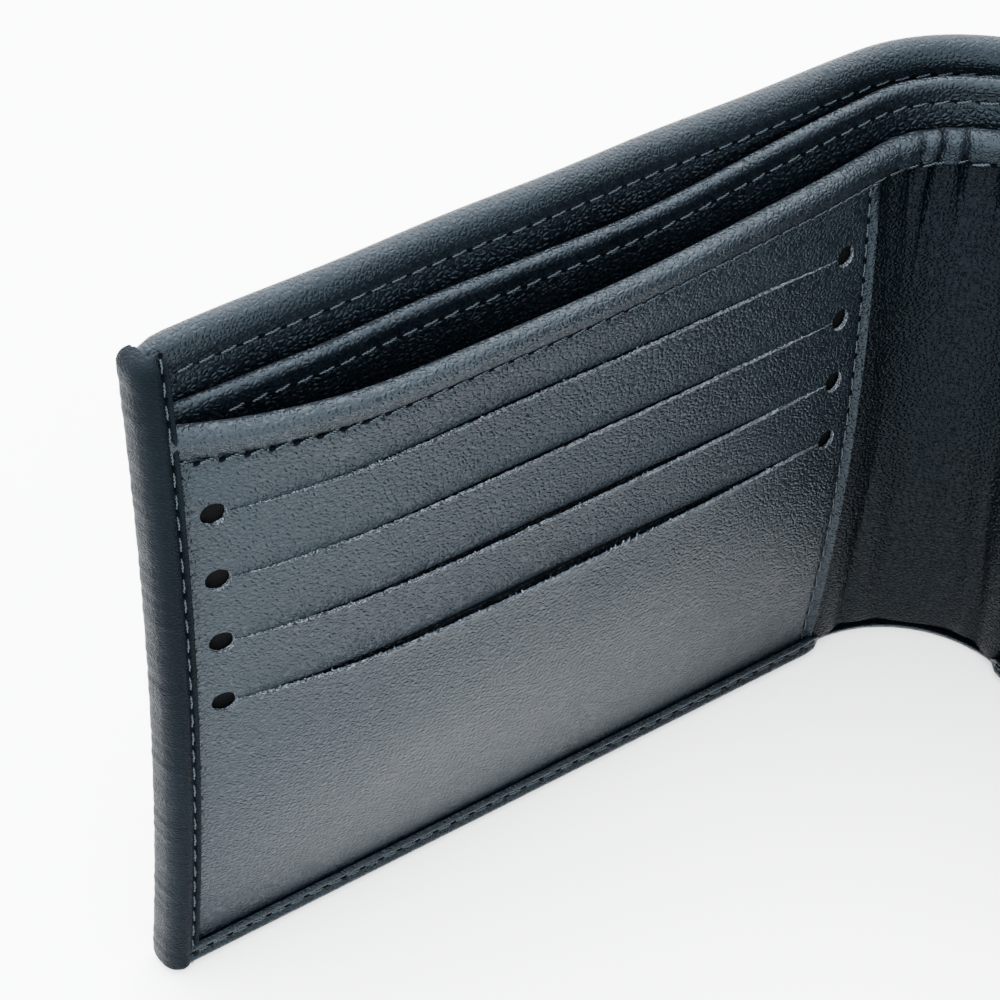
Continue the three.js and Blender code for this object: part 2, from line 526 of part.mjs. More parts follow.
function buildFlap(group) {
  const shellFront = SHELL / 2;
  const backing = { back: shellFront + PLY_GAP, front: shellFront + PLY_GAP + LINING };
  const sheetBack = backing.front + PLY_GAP;
  const frame = { back: sheetBack + WINDOW_SHEET + PLY_GAP, front: sheetBack + WINDOW_SHEET + PLY_GAP + PANEL };
  const turn = { back: frame.front + PLY_GAP, front: frame.front + PLY_GAP + TURN };
  const start = flapRoom(turn.front);
  const inset = EDGE_WALL + PLY_GAP;
  const end = FLAP_WIDTH;
  const slab = (name, xs, zs, back, front, material) => add(group, name, sheet(
    flapPlace, xs, () => zs, back, front), material);

  slab(
    'flap_shell', [flapRoom(SHELL / 2), end], [FLAP_FOOT, FLAP_TOP],
    () => -SHELL / 2, () => shellFront, outerLeather);
  slab(
    'flap_backing', [start, end - inset], [FLAP_FOOT + inset, FLAP_TOP - inset],
    () => backing.back, () => backing.front, sleeveFabric);
  const frameBox = [start, end - inset, FLAP_FOOT + inset, FLAP_TOP - inset];
  add(group, 'flap_window_frame', windowFrame(...frameBox, frame.back, frame.front), innerLeather);
  const cx = (frameBox[0] + frameBox[1]) / 2;
  const cz = (frameBox[2] + frameBox[3]) / 2;
  const halfWide = WINDOW_WIDTH / 2 + WINDOW_LAP;
  const halfHigh = WINDOW_HEIGHT / 2 + WINDOW_LAP;
  slab(
    'flap_clear_window', [cx - halfWide, cx + halfWide], [cz - halfHigh, cz + halfHigh],
    () => sheetBack, () => sheetBack + WINDOW_SHEET, clearVinyl);

  const step = end - EDGE_WALL;
  slab(
    'flap_side_turned_edge', [end - SIDE_TURN, step - TURN_STEP, step, end], [FLAP_FOOT, FLAP_TOP],
    (x) => (x < step ? turn.back : backing.back), () => turn.front, outerLeather);
  const [from, to] = [start, end - SIDE_TURN - PLY_GAP];
  slab(
    'flap_top_turned_edge', [from, to],
    [FLAP_TOP - SIDE_TURN, FLAP_TOP - EDGE_WALL - TURN_STEP, FLAP_TOP - EDGE_WALL, FLAP_TOP],
    (x, z) => (z < FLAP_TOP - EDGE_WALL ? turn.back : backing.back), () => turn.front, outerLeather);
  slab(
    'flap_bottom_turned_edge', [from, to],
    [FLAP_FOOT, FLAP_FOOT + EDGE_WALL, FLAP_FOOT + EDGE_WALL + TURN_STEP, FLAP_FOOT + SIDE_TURN],
    (x, z) => (z > FLAP_FOOT + EDGE_WALL ? turn.back : backing.back), () => turn.front, outerLeather);

  const line = SIDE_TURN - STITCH_INSET;
  const low = turn.front + THREAD_GAP;
  const thread = (name, xs, zs) => slab(name, xs, zs, () => low, () => low + THREAD, blackThread);
  thread(
    'flap_side_thread', [end - line - THREAD / 2, end - line + THREAD / 2],
    [FLAP_FOOT + SIDE_TURN, FLAP_TOP - SIDE_TURN]);
  thread(
    'flap_top_thread', [from, end - SIDE_TURN],
    [FLAP_TOP - line - THREAD / 2, FLAP_TOP - line + THREAD / 2]);
  thread(
    'flap_bottom_thread', [from, end - SIDE_TURN],
    [FLAP_FOOT + line - THREAD / 2, FLAP_FOOT + line + THREAD / 2]);
}

// ---------------------------------------------------------------- assembly
const wallet = new THREE.Group();
const body = new THREE.Group();
wallet.add(body);

const leftPlace = (x, v, z) => [-x, SPINE_RADIUS - v, z];
const centrePlace = (x, v, z) => [SPINE_RADIUS - v, -x, z];
buildLeaf(body, 'left', leftPlace);
buildLeaf(body, 'centre', centrePlace);
buildSpine(body);
buildHingeTab(body, centrePlace);

const flapSpine = new THREE.Group();
flapSpine.position.set(SPINE_RADIUS - FLAP_AXIS, -(LEAF_WIDTH + FLAP_STANDOFF), 0);
flapSpine.rotation.z = -THREE.MathUtils.degToRad(FLAP_REST);
buildFlapSpine(flapSpine);
const flap = new THREE.Group();
flap.position.set(0, -FLAP_SPINE, 0);
flap.rotation.z = -THREE.MathUtils.degToRad(FLAP_REST);
buildFlap(flap);
flapSpine.add(flap);
body.add(flapSpine);

// The origin is the middle of the wallet's outer box, on the surface it stands on.
const box = new THREE.Box3().setFromObject(body, true);
body.position.set(-(box.min.x + box.max.x) / 2, -(box.min.y + box.max.y) / 2, 0);

export default wallet;
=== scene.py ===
"""Black leather trifold wallet, standing half open on its lower edge.

Sizes are in millimetres and are turned into metres where points are placed. Each pocket leaf is
made together with its half of the rounded spine, in its own leaf space: s runs along the leaf from
the spine's crease (0) to the outer edge, and below 0 round the spine; v is depth, 0 at the front of
the sewn edges and negative towards the back; z is height. The second leaf is the mirror of the first.
"""

import math

import bpy
import numpy as np
from mathutils import Matrix, Vector


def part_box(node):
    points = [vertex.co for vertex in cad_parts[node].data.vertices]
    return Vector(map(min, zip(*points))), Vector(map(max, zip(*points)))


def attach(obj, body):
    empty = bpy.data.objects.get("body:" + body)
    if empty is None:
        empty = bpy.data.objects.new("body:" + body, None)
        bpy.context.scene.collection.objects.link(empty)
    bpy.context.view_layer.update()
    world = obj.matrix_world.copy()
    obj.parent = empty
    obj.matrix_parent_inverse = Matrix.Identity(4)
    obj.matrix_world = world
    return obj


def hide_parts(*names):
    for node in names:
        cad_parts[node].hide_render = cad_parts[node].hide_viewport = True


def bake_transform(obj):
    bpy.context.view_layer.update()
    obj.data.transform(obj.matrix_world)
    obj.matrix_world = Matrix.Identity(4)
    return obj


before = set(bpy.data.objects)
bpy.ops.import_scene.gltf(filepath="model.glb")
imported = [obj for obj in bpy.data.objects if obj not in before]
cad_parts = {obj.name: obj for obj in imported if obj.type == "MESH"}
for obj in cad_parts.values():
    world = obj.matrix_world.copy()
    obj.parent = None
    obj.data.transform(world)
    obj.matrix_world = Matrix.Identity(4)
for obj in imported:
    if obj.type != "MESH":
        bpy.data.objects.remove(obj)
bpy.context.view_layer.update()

# ---------------------------------------------------------------- sizes, in millimetres
MM = 0.001
LEAF_WIDTH = 104.0
LEAF_HEIGHT = 92.0
SPINE_RADIUS = 16.0
HALF_SPINE = SPINE_RADIUS * math.pi / 4
DIVIDER_TOP = 85.5
DIVIDER_RISE = 2.9
POCKET_TOP = 82.6
SIDE_TURN = 3.2
BOTTOM_TURN = 3.4
TURN_START = LEAF_WIDTH - SIDE_TURN
TOP_HEM_END = 86.6
HEM_STITCH = 78.1
DIVIDER_HEM = 4.0
SEAM_INSET = 2.0
SEAM_STITCH = 3.6
SIDE_STITCH = TURN_START + 0.8
BOTTOM_STITCH = BOTTOM_TURN - 0.9

# depths of the sheets at the sewn edges
SHELL_MIDDLE = -4.3
SHELL_THICK = 0.9
TOP_HEM_MIDDLE = -3.0
LINING_MIDDLE = -3.5
LINING_THICK = 0.3
DIVIDER_MIDDLE = -2.98
DIVIDER_THICK = 0.3
WALL_MIDDLE = -2.18
WALL_THICK = 0.35
HEM_MIDDLE = -0.98
HEM_THICK = 0.4
PANEL_FRONT = -0.8
PANEL_THICK = 0.6
SLEEVE_MIDDLE = -1.75
SLEEVE_THICK = 0.15
TURN_MIDDLE = -0.3

# the open shape
LEAF_HOLLOW = 3.0
BELLY = 4.3
BELLY_HEIGHT = 40.0
FLARE = 2.2
FLARE_POWER = 12  # higher keeps the flare nearer to the pocket's mouth
SHELL_OPEN = 2.9
SHELL_OPEN_POWER = 1.4
EDGE_PUFF = 0.9
DIVIDER_OPEN = 0.9
DIVIDER_BELLY = 1.1
SPINE_WALL_STEP = 0.8

# card slits, top one first: how far each gapes, and how far its upper lip sinks and its lower lip lifts
FIRST_SLIT = 70.3
SLIT_PITCH = 8.9
SLIT_LENGTH = 90.0
SLIT_MARGIN = 6.45
SLIT_HEIGHTS = [FIRST_SLIT - SLIT_PITCH * k for k in range(4)]
SLIT_OUTER = LEAF_WIDTH - SLIT_MARGIN
SLIT_INNER = SLIT_OUTER - SLIT_LENGTH
HOLE_RADIUS = 1.45
SLIT_GAPE = [0.4, 0.44, 0.68, 1.05]
SLIT_DIP = [0.42, 0.42, 0.5, 0.6]
SLIT_LIFT = [0.2, 0.22, 0.32, 0.45]

# card flap on its own narrow spine
FLAP_DEPTH = -5.4
FLAP_STANDOFF = 3.2
FLAP_SPINE = 17.5
FLAP_WIDTH = 85.0
FLAP_BEND = math.radians(17.5)
FLAP_FOOT = 1.5
FLAP_TOP = 90.5
WINDOW_WIDTH = 58.0
WINDOW_HEIGHT = 52.0
WINDOW_RADIUS = 4.0
THUMB_RADIUS = 9.0

# stitching
STITCH_PITCH = 2.75
STITCH_LENGTH = 2.1
STRAND_RADIUS = 0.16
LEAF_STEP = 1.6

# the spine's centre of bend, found from the frame
left_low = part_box("left_shell")[0]
centre_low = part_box("centre_shell")[0]
SPINE_X = left_low.x / MM + LEAF_WIDTH
SPINE_Y = centre_low.y / MM + LEAF_WIDTH


# ---------------------------------------------------------------- shape of the open wallet
def ease(start, end, value):
    """0 before start, 1 after end, and a smooth step between them."""
    t = np.clip((value - start) / (end - start), 0, 1)
    return t * t * (3 - 2 * t)


def bands(height, middle, width):
    """A smooth bump: 1 at the middle and almost 0 two widths away."""
    return np.exp(-(((height - middle) / width) ** 2))


def share(s):
    """How far along the leaf a point is, from 0 at the spine's crease to 1 at the turned edge."""
    return np.clip(s / TURN_START, 0, 1)


def hollow(z):
    """How far the whole leaf bows back between its foot and its top."""
    t = np.clip(z / LEAF_HEIGHT, 0, 1)
    return LEAF_HOLLOW * 4 * t * (1 - t)


def smooth_table(places, values):
    """A smooth curve through the values, read by position."""
    places, values = np.array(places, float), np.array(values, float)
    slopes = np.gradient(values, places)

    def read(x):
        x = np.clip(x, places[0], places[-1])
        i = np.clip(np.searchsorted(places, x) - 1, 0, len(places) - 2)
        width = places[i + 1] - places[i]
        t = (x - places[i]) / width
        a = values[i] * (1 + 2 * t) * (1 - t) ** 2 + values[i + 1] * t * t * (3 - 2 * t)
        return a + width * (slopes[i] * t * (1 - t) ** 2 - slopes[i + 1] * t * t * (1 - t))

    return read


# how far the pocket stands open along the leaf, as a share of its fullest
hump = smooth_table(
    [-3, 0, 6, 14.5, 28, 40, 52, 63, 71, 79, 86.5, 94, 99.0, TURN_START],
    [0, 0.03, 0.17, 0.37, 0.64, 0.79, 0.9, 0.98, 1.0, 0.95, 0.77, 0.46, 0.14, 0])


def pocket_lean(s, z):
    """How far the card pocket stands forward, with its belly and the flare of its mouth."""
    belly = np.clip((z - BOTTOM_TURN) / (BELLY_HEIGHT - BOTTOM_TURN), 0, 1)
    flare = np.clip(z / POCKET_TOP, 0, 1) ** FLARE_POWER
    return hump(s) * (BELLY * np.sin(np.pi / 2 * belly) + FLARE * flare)


def divider_lean(s, z):
    """How far the bill divider leans, forward with the pocket and back by the spine."""
    forward = DIVIDER_BELLY * hump(s) + 0.6 * bands(s, 86, 12)
    return (z / LEAF_HEIGHT) ** 2 * (forward - DIVIDER_OPEN * (1 - share(s)) ** 2)


def shell_lean(s, z):
    """How far the shell and its lining lean back from the pocket, most by the spine."""
    return -SHELL_OPEN * (1 - share(s) ** SHELL_OPEN_POWER) * (z / LEAF_HEIGHT) ** 2


# slight waves, so that no long edge runs dead straight
def shell_sway(s, z):
    return 0.12 * np.sin(s * 0.21 + 1.0) * np.sin(z * 0.05)


def divider_sway(s, z):
    return 0.2 * np.sin(s * 0.13 + 2.0) * ease(20, 70, z) * ease(TURN_START, 70, s)


def pocket_sway(s, z):
    return 0.15 * np.sin(s * 0.16 + 0.6) * ease(50, 80, z) * ease(TURN_START, 80, s) * ease(2, 14, s)


def place(side, s, v, z):
    """Points in metres, in the row frame, for the left leaf or its mirror, the centre leaf."""
    s, v, z = np.broadcast_arrays(np.asarray(s, float), v, z)
    reach = SPINE_RADIUS - v - hollow(z)
    turn = np.clip(-s, 0, None) / SPINE_RADIUS
    along = np.where(s > 0, -s, reach * np.sin(turn))
    across = reach * np.cos(turn)
    x, y = (along, across) if side == "left" else (across, along)
    return np.stack([x + SPINE_X, y + SPINE_Y, z], -1) * MM


# ---------------------------------------------------------------- mesh helpers
def add_object(name, data):
    """A new object in the scene for a mesh, a camera or a light."""
    added = bpy.data.objects.new(name, data)
    bpy.context.scene.collection.objects.link(added)
    return added


def grid(stations, outline):
    """Stations along a sheet against the points of its outline, as three arrays of one shape."""
    s = np.repeat(np.asarray(stations)[:, None], len(outline), 1)
    v = np.repeat(outline[None, :, 0], len(stations), 0)
    z = np.repeat(outline[None, :, 1], len(stations), 0)
    return s, v, z


def line(a, b, steps):
    """Points from a to b."""
    t = np.linspace(0, 1, steps + 1)[:, None]
    return np.array(a, float) * (1 - t) + np.array(b, float) * t


def arc(centre, radius, start, end, steps):
    """Points round a centre, from one angle in degrees to another."""
    a = np.radians(np.linspace(start, end, steps + 1))
    return np.array(centre) + radius * np.stack([np.cos(a), np.sin(a)], 1)


def joined(*parts):
    """One polyline from several, without repeated points."""
    points = np.concatenate(parts)
    keep = np.r_[True, np.linalg.norm(np.diff(points, axis=0), axis=1) > 1e-4]
    return points[keep]


def ribbon(path, thick):
    """Closed outline of a strip of leather that follows path, with rounded ends."""
    thick = np.broadcast_to(thick, len(path))
    along = np.gradient(path, axis=0)
    along /= np.linalg.norm(along, axis=1)[:, None]
    normal = np.stack([-along[:, 1], along[:, 0]], 1)
    half = thick[:, None] / 2
    ends = []
    for i, sign in ((-1, 1), (0, -1)):
        a = np.radians([45, 90, 135])[:, None]
        ends.append(path[i] + half[i] * (sign * normal[i] * np.cos(a) + sign * along[i] * np.sin(a)))
    return np.concatenate([path + normal * half, ends[0], (path - normal * half)[::-1], ends[1]])


def flip_inward(points, faces):
    """Turns every face round if the closed mesh has its faces pointing in."""
    total = 0.0
    for face in faces:
        p = points[list(face)]
        normals = np.cross(p[1:-1] - p[0], p[2:] - p[0])
        total += np.sum(normals @ p[0])
    return [tuple(reversed(f)) for f in faces] if total < 0 else faces


def make_piece(name, points, faces, materials, wear_and_highlight=None, face_material=None, sharp=42):
    """A mesh object at the origin with its place in its mesh."""
    points = np.asarray(points, float).reshape(-1, 3)
    faces = flip_inward(points, faces)
    mesh = bpy.data.meshes.new(name)
    mesh.from_pydata(points.tolist(), [], faces)
    for material in materials:
        mesh.materials.append(material)
    if face_material is not None:
        mesh.polygons.foreach_set("material_index", face_material)
    if wear_and_highlight is not None:
        worn_and_lit = mesh.attributes.new("wear_and_highlight", "FLOAT", "POINT")
        worn_and_lit.data.foreach_set("value", wear_and_highlight.astype(np.float32).ravel())
    mesh.shade_smooth()
    mesh.set_sharp_from_angle(angle=math.radians(sharp))
    mesh.update()
    return add_object(name, mesh)


def ring_faces(rings, around):
    """Faces of a closed sweep of rings, with both ends capped."""
    faces = []
    for i in range(rings - 1):
        a, b = i * around, (i + 1) * around
        for j in range(around):
            k = (j + 1) % around
            faces.append((a + j, a + k, b + k, b + j))
    faces.append(tuple(range(around))[::-1])
    faces.append(tuple(range((rings - 1) * around, rings * around)))
    return faces


def sweep(name, side, stations, outline, bend, materials, wear_and_highlight=None, second=None):
    """Sweeps an outline of (v, z) points along the leaf; bend(s, v, z) gives the moved (s, v, z).

    second(s, v, z) says which parts take the second material.
    """
    s, v, z = grid(stations, outline)
    points = place(side, *bend(s, v, z))
    worn_and_lit = None if wear_and_highlight is None else wear_and_highlight(s, v, z)
    faces = ring_faces(len(stations), len(outline))
    kinds = None
    if second is not None:
        chosen = second(s, v, z).ravel()
        kinds = [int(all(chosen[a] for a in face)) for face in faces]
    return make_piece(name, points, faces, materials, worn_and_lit, kinds)


def leaf_stations(start, end, leaf_step, spine_step=0.6):
    """Stations round the spine and along the leaf, with one very close to the spine's middle."""
    parts = []
    if start < 0:
        spine = np.linspace(start, 0, int(-start / spine_step) + 1)
        parts.append(np.r_[spine[0], spine[0] + 0.05, spine[1:]])
        start = 0
    parts.append(np.linspace(start, end, int((end - start) / leaf_step) + 1))
    return np.unique(np.round(np.concatenate(parts), 5))


# ---------------------------------------------------------------- node helpers
def add_node(tree, kind, place_at=(0, 0), **settings):
    node = tree.nodes.new(kind)
    node.location = place_at
    for key, value in settings.items():
        setattr(node, key, value)
    return node


def math_node(tree, operation, a, b=None, clamp=False):
    node = tree.nodes.new("ShaderNodeMath")
    node.operation = operation
    node.use_clamp = clamp
    for i, value in enumerate((a, b)):
        if value is None:
            continue
        if isinstance(value, bpy.types.NodeSocket):
            tree.links.new(value, node.inputs[i])
        else:
            node.inputs[i].default_value = value
    return node.outputs[0]


def map_range(tree, value, from_min, from_max, to_min, to_max):
    node = tree.nodes.new("ShaderNodeMapRange")
    node.interpolation_type = "SMOOTHSTEP"
    tree.links.new(value, node.inputs["Value"])
    limits = {"From Min": from_min, "From Max": from_max, "To Min": to_min, "To Max": to_max}
    for key, number in limits.items():
        node.inputs[key].default_value = number
    return node.outputs["Result"]


def new_group(name, inputs, outputs):
    """Shader node group with named inputs, each (name, socket type, default), and named outputs."""
    group = bpy.data.node_groups.new(name, "ShaderNodeTree")
    for label, kind, default in inputs:
        socket = group.interface.new_socket(label, in_out="INPUT", socket_type=kind)
        socket.default_value = default
    for label, kind in outputs:
        group.interface.new_socket(label, in_out="OUTPUT", socket_type=kind)
    return group, group.nodes.new("NodeGroupInput"), group.nodes.new("NodeGroupOutput")


def grain_group():
    """Leather grain: rounded cells parted by fine creases, with soft pores and drawn-out wrinkles."""
    group, given, made = new_group(
        "Leather Grain",
        [
            ("Cell Size", "NodeSocketFloat", 0.6),
            ("Stretch", "NodeSocketVector", (1.0, 1.0, 1.5)),
            ("Wrinkle", "NodeSocketFloat", 0.4),
        ],
        [("Height", "NodeSocketFloat"), ("Crease", "NodeSocketFloat")],
    )
    link = group.links.new
    coords = group.nodes.new("ShaderNodeTexCoord").outputs["Object"]
    stretch = add_node(group, "ShaderNodeVectorMath", operation="MULTIPLY")
    link(coords, stretch.inputs[0])
    link(given.outputs["Stretch"], stretch.inputs[1])
    in_mm = add_node(group, "ShaderNodeVectorMath", operation="SCALE")
    link(stretch.outputs[0], in_mm.inputs[0])
    in_mm.inputs["Scale"].default_value = 1 / MM
    waver = add_node(group, "ShaderNodeTexNoise")
    link(in_mm.outputs[0], waver.inputs["Vector"])
    waver.inputs["Scale"].default_value = 0.7
    waver.inputs["Detail"].default_value = 2.0
    shift = add_node(group, "ShaderNodeVectorMath", operation="MULTIPLY_ADD")
    link(waver.outputs["Color"], shift.inputs[0])
    shift.inputs[1].default_value = (0.32, 0.32, 0.32)
    link(in_mm.outputs[0], shift.inputs[2])
    per_cell = math_node(group, "DIVIDE", 1.0, given.outputs["Cell Size"])
    cells = add_node(group, "ShaderNodeTexVoronoi", feature="DISTANCE_TO_EDGE")
    link(shift.outputs[0], cells.inputs["Vector"])
    link(per_cell, cells.inputs["Scale"])
    crease = map_range(group, cells.outputs["Distance"], 0.0, 0.34, 0.0, 1.0)
    fine = add_node(group, "ShaderNodeTexNoise")
    link(in_mm.outputs[0], fine.inputs["Vector"])
    link(math_node(group, "MULTIPLY", per_cell, 2.2), fine.inputs["Scale"])
    fine.inputs["Detail"].default_value = 3.0
    drawn = add_node(group, "ShaderNodeMapping")
    drawn.inputs["Scale"].default_value = (0.18, 0.18, 0.55)
    drawn.inputs["Rotation"].default_value = (0.25, 0.35, 0.0)
    link(in_mm.outputs[0], drawn.inputs["Vector"])
    wrinkles = add_node(group, "ShaderNodeTexNoise")
    link(drawn.outputs[0], wrinkles.inputs["Vector"])
    wrinkles.inputs["Scale"].default_value = 1.6
    wrinkles.inputs["Detail"].default_value = 3.0
    wrinkles.inputs["Distortion"].default_value = 0.6
    soft = math_node(group, "MULTIPLY", wrinkles.outputs["Fac"], given.outputs["Wrinkle"])
    pores = math_node(group, "MULTIPLY", fine.outputs["Fac"], 0.22)
    height = math_node(group, "ADD", math_node(group, "ADD", crease, pores), soft)
    link(height, made.inputs["Height"])
    link(math_node(group, "SUBTRACT", 1.0, crease), made.inputs["Crease"])
    return group


def finish_group():
    """Colour and gloss of dyed leather: cloudy dye, painted shade in the grain's creases, and paler, smoother
    folds that are rubbing wear with a painted highlight on the rolled tops.
    """
    group, given, made = new_group(
        "Dyed Finish",
        [
            ("Dye", "NodeSocketColor", (0.03, 0.04, 0.05, 1)),
            ("Worn And Lit", "NodeSocketColor", (0.1, 0.11, 0.12, 1)),
            ("Crease", "NodeSocketFloat", 0.0),
            ("Crease Shade", "NodeSocketFloat", 0.35),
            ("Gloss", "NodeSocketFloat", 0.45),
        ],
        [("Color", "NodeSocketColor"), ("Roughness", "NodeSocketFloat")],
    )
    link = group.links.new
    coords = group.nodes.new("ShaderNodeTexCoord").outputs["Object"]
    cloud = add_node(group, "ShaderNodeTexNoise")
    link(coords, cloud.inputs["Vector"])
    cloud.inputs["Scale"].default_value = 70.0
    cloud.inputs["Detail"].default_value = 4.0
    wear_and_highlight = add_node(group, "ShaderNodeAttribute", attribute_name="wear_and_highlight")
    clouded = add_node(group, "ShaderNodeHueSaturation")
    link(given.outputs["Dye"], clouded.inputs["Color"])
    link(map_range(group, cloud.outputs["Fac"], 0.3, 0.7, 0.84, 1.16), clouded.inputs["Value"])
    # painted shade: the colour is darkened in the grain's creases
    creased = add_node(group, "ShaderNodeMix", data_type="RGBA", blend_type="MULTIPLY")
    shade = math_node(group, "MULTIPLY", given.outputs["Crease"], given.outputs["Crease Shade"])
    link(shade, creased.inputs["Factor"])
    link(clouded.outputs["Color"], creased.inputs[6])
    creased.inputs[7].default_value = (0.25, 0.27, 0.3, 1)
    speck = map_range(group, cloud.outputs["Fac"], 0.25, 0.75, 0.6, 1.0)
    # paler colour on the rubbed folds: partly real rubbing wear, partly a painted highlight on the tops of
    # the rolled edges
    rubbed_and_lit = add_node(group, "ShaderNodeMix", data_type="RGBA")
    link(math_node(group, "MULTIPLY", wear_and_highlight.outputs["Fac"], speck, clamp=True), rubbed_and_lit.inputs["Factor"])
    link(creased.outputs[2], rubbed_and_lit.inputs[6])
    link(given.outputs["Worn And Lit"], rubbed_and_lit.inputs[7])
    link(rubbed_and_lit.outputs[2], made.inputs["Color"])
    uneven = math_node(group, "MULTIPLY", math_node(group, "SUBTRACT", cloud.outputs["Fac"], 0.5), 0.16)
    rough = math_node(group, "ADD", given.outputs["Gloss"], uneven)
    polished = math_node(group, "SUBTRACT", rough, math_node(group, "MULTIPLY", wear_and_highlight.outputs["Fac"], 0.17))
    link(polished, made.inputs["Roughness"])
    return group


def new_material(name):
    material = bpy.data.materials.new(name)
    material.use_nodes = True
    return material, material.node_tree, material.node_tree.nodes["Principled BSDF"]


def bump(tree, height, distance, strength, shader):
    node = tree.nodes.new("ShaderNodeBump")
    node.inputs["Distance"].default_value = distance * MM
    node.inputs["Strength"].default_value = strength
    tree.links.new(height, node.inputs["Height"])
    tree.links.new(node.outputs["Normal"], shader.inputs["Normal"])


def leather(name, dye, worn_and_lit, cell, stretch, wrinkle, depth, gloss, crease_shade, specular):
    """Dyed leather with its own grain size, crease depth in millimetres and gloss."""
    material, tree, shader = new_material(name)
    grain = add_node(tree, "ShaderNodeGroup", node_tree=GRAIN)
    grain.inputs["Cell Size"].default_value = cell
    grain.inputs["Stretch"].default_value = stretch
    grain.inputs["Wrinkle"].default_value = wrinkle
    finish = add_node(tree, "ShaderNodeGroup", node_tree=FINISH)
    finish.inputs["Dye"].default_value = (*dye, 1)
    finish.inputs["Worn And Lit"].default_value = (*worn_and_lit, 1)
    # how strongly painted shade darkens the grain's creases
    finish.inputs["Crease Shade"].default_value = crease_shade
    finish.inputs["Gloss"].default_value = gloss
    tree.links.new(grain.outputs["Crease"], finish.inputs["Crease"])
    tree.links.new(finish.outputs["Color"], shader.inputs["Base Color"])
    tree.links.new(finish.outputs["Roughness"], shader.inputs["Roughness"])
    shader.inputs["Specular IOR Level"].default_value = specular
    shader.inputs["Specular Tint"].default_value = COOL_SHEEN
    bump(tree, grain.outputs["Height"], depth, 1.0, shader)
    return material


def fibrous(name, dark, light, size, roughness, depth, specular):
    """Raw fibres: a matt surface speckled between two colours."""
    material, tree, shader = new_material(name)
    coords = tree.nodes.new("ShaderNodeTexCoord").outputs["Object"]
    speck = add_node(tree, "ShaderNodeTexNoise")
    tree.links.new(coords, speck.inputs["Vector"])
    speck.inputs["Scale"].default_value = 1 / (size * MM)
    speck.inputs["Detail"].default_value = 3.0
    mix = add_node(tree, "ShaderNodeMix", data_type="RGBA")
    tree.links.new(map_range(tree, speck.outputs["Fac"], 0.46, 0.64, 0.0, 1.0), mix.inputs["Factor"])
    mix.inputs[6].default_value = (*dark, 1)
    mix.inputs[7].default_value = (*light, 1)
    tree.links.new(mix.outputs[2], shader.inputs["Base Color"])
    shader.inputs["Roughness"].default_value = roughness
    shader.inputs["Specular IOR Level"].default_value = specular
    shader.inputs["Specular Tint"].default_value = COOL_SHEEN
    bump(tree, speck.outputs["Fac"], depth, 1.0, shader)
    return material


def woven(name, dye, thread, roughness):
    """Close woven fabric: two crossing sets of threads, with painted shade between them."""
    material, tree, shader = new_material(name)
    coords = tree.nodes.new("ShaderNodeTexCoord").outputs["Object"]
    heights = []
    for axis in ("X", "Z"):
        wave = add_node(tree, "ShaderNodeTexWave", wave_type="BANDS", bands_direction=axis)
        tree.links.new(coords, wave.inputs["Vector"])
        wave.inputs["Scale"].default_value = 1 / (thread * MM) / 3.14
        wave.inputs["Distortion"].default_value = 0.4
        heights.append(wave.outputs["Fac"])
    height = math_node(tree, "MULTIPLY", *heights)
    # painted shade: the colour is halved in the hollows between the threads
    mix = add_node(tree, "ShaderNodeMix", data_type="RGBA")
    tree.links.new(height, mix.inputs["Factor"])
    mix.inputs[6].default_value = (*[0.5 * c for c in dye], 1)
    mix.inputs[7].default_value = (*dye, 1)
    tree.links.new(mix.outputs[2], shader.inputs["Base Color"])
    shader.inputs["Roughness"].default_value = roughness
    shader.inputs["Specular IOR Level"].default_value = 0.04
    bump(tree, height, 0.08, 1.0, shader)
    return material


def clear_sheet(name):
    """Clear flexible vinyl with faint ripples."""
    material, tree, shader = new_material(name)
    coords = tree.nodes.new("ShaderNodeTexCoord").outputs["Object"]
    ripple = add_node(tree, "ShaderNodeTexNoise")
    tree.links.new(coords, ripple.inputs["Vector"])
    ripple.inputs["Scale"].default_value = 60.0
    shader.inputs["Base Color"].default_value = (0.86, 0.9, 0.92, 1)
    shader.inputs["Roughness"].default_value = 0.08
    shader.inputs["Transmission Weight"].default_value = 1.0
    shader.inputs["IOR"].default_value = 1.12
    bump(tree, ripple.outputs["Fac"], 0.3, 0.6, shader)
    return material


COOL_SHEEN = (0.69, 0.875, 1.0, 1)
GRAIN = grain_group()
FINISH = finish_group()
# paler tone of the rubbed folds, partly a painted highlight on the tops of the rolled edges
RUBBED_AND_LIT = (0.012, 0.014, 0.017)
SHELL_LEATHER = leather(
    "outer_leather", dye=(0.0014, 0.0023, 0.0034), worn_and_lit=RUBBED_AND_LIT, cell=0.6, stretch=(1, 1, 1.1),
    wrinkle=0.6, depth=0.085, gloss=0.36, crease_shade=0.45, specular=0.095)
PANEL_LEATHER = leather(
    "inner_leather", dye=(0.0016, 0.0027, 0.0039), worn_and_lit=RUBBED_AND_LIT, cell=0.72, stretch=(1, 1, 1.35),
    wrinkle=0.5, depth=0.13, gloss=0.4, crease_shade=0.5, specular=0.125)
EDGE_LEATHER = leather(
    "edge_leather", dye=(0.0016, 0.0026, 0.0036), worn_and_lit=RUBBED_AND_LIT, cell=0.5, stretch=(0.7, 0.7, 1.8),
    wrinkle=0.5, depth=0.1, gloss=0.42, crease_shade=0.35, specular=0.01)
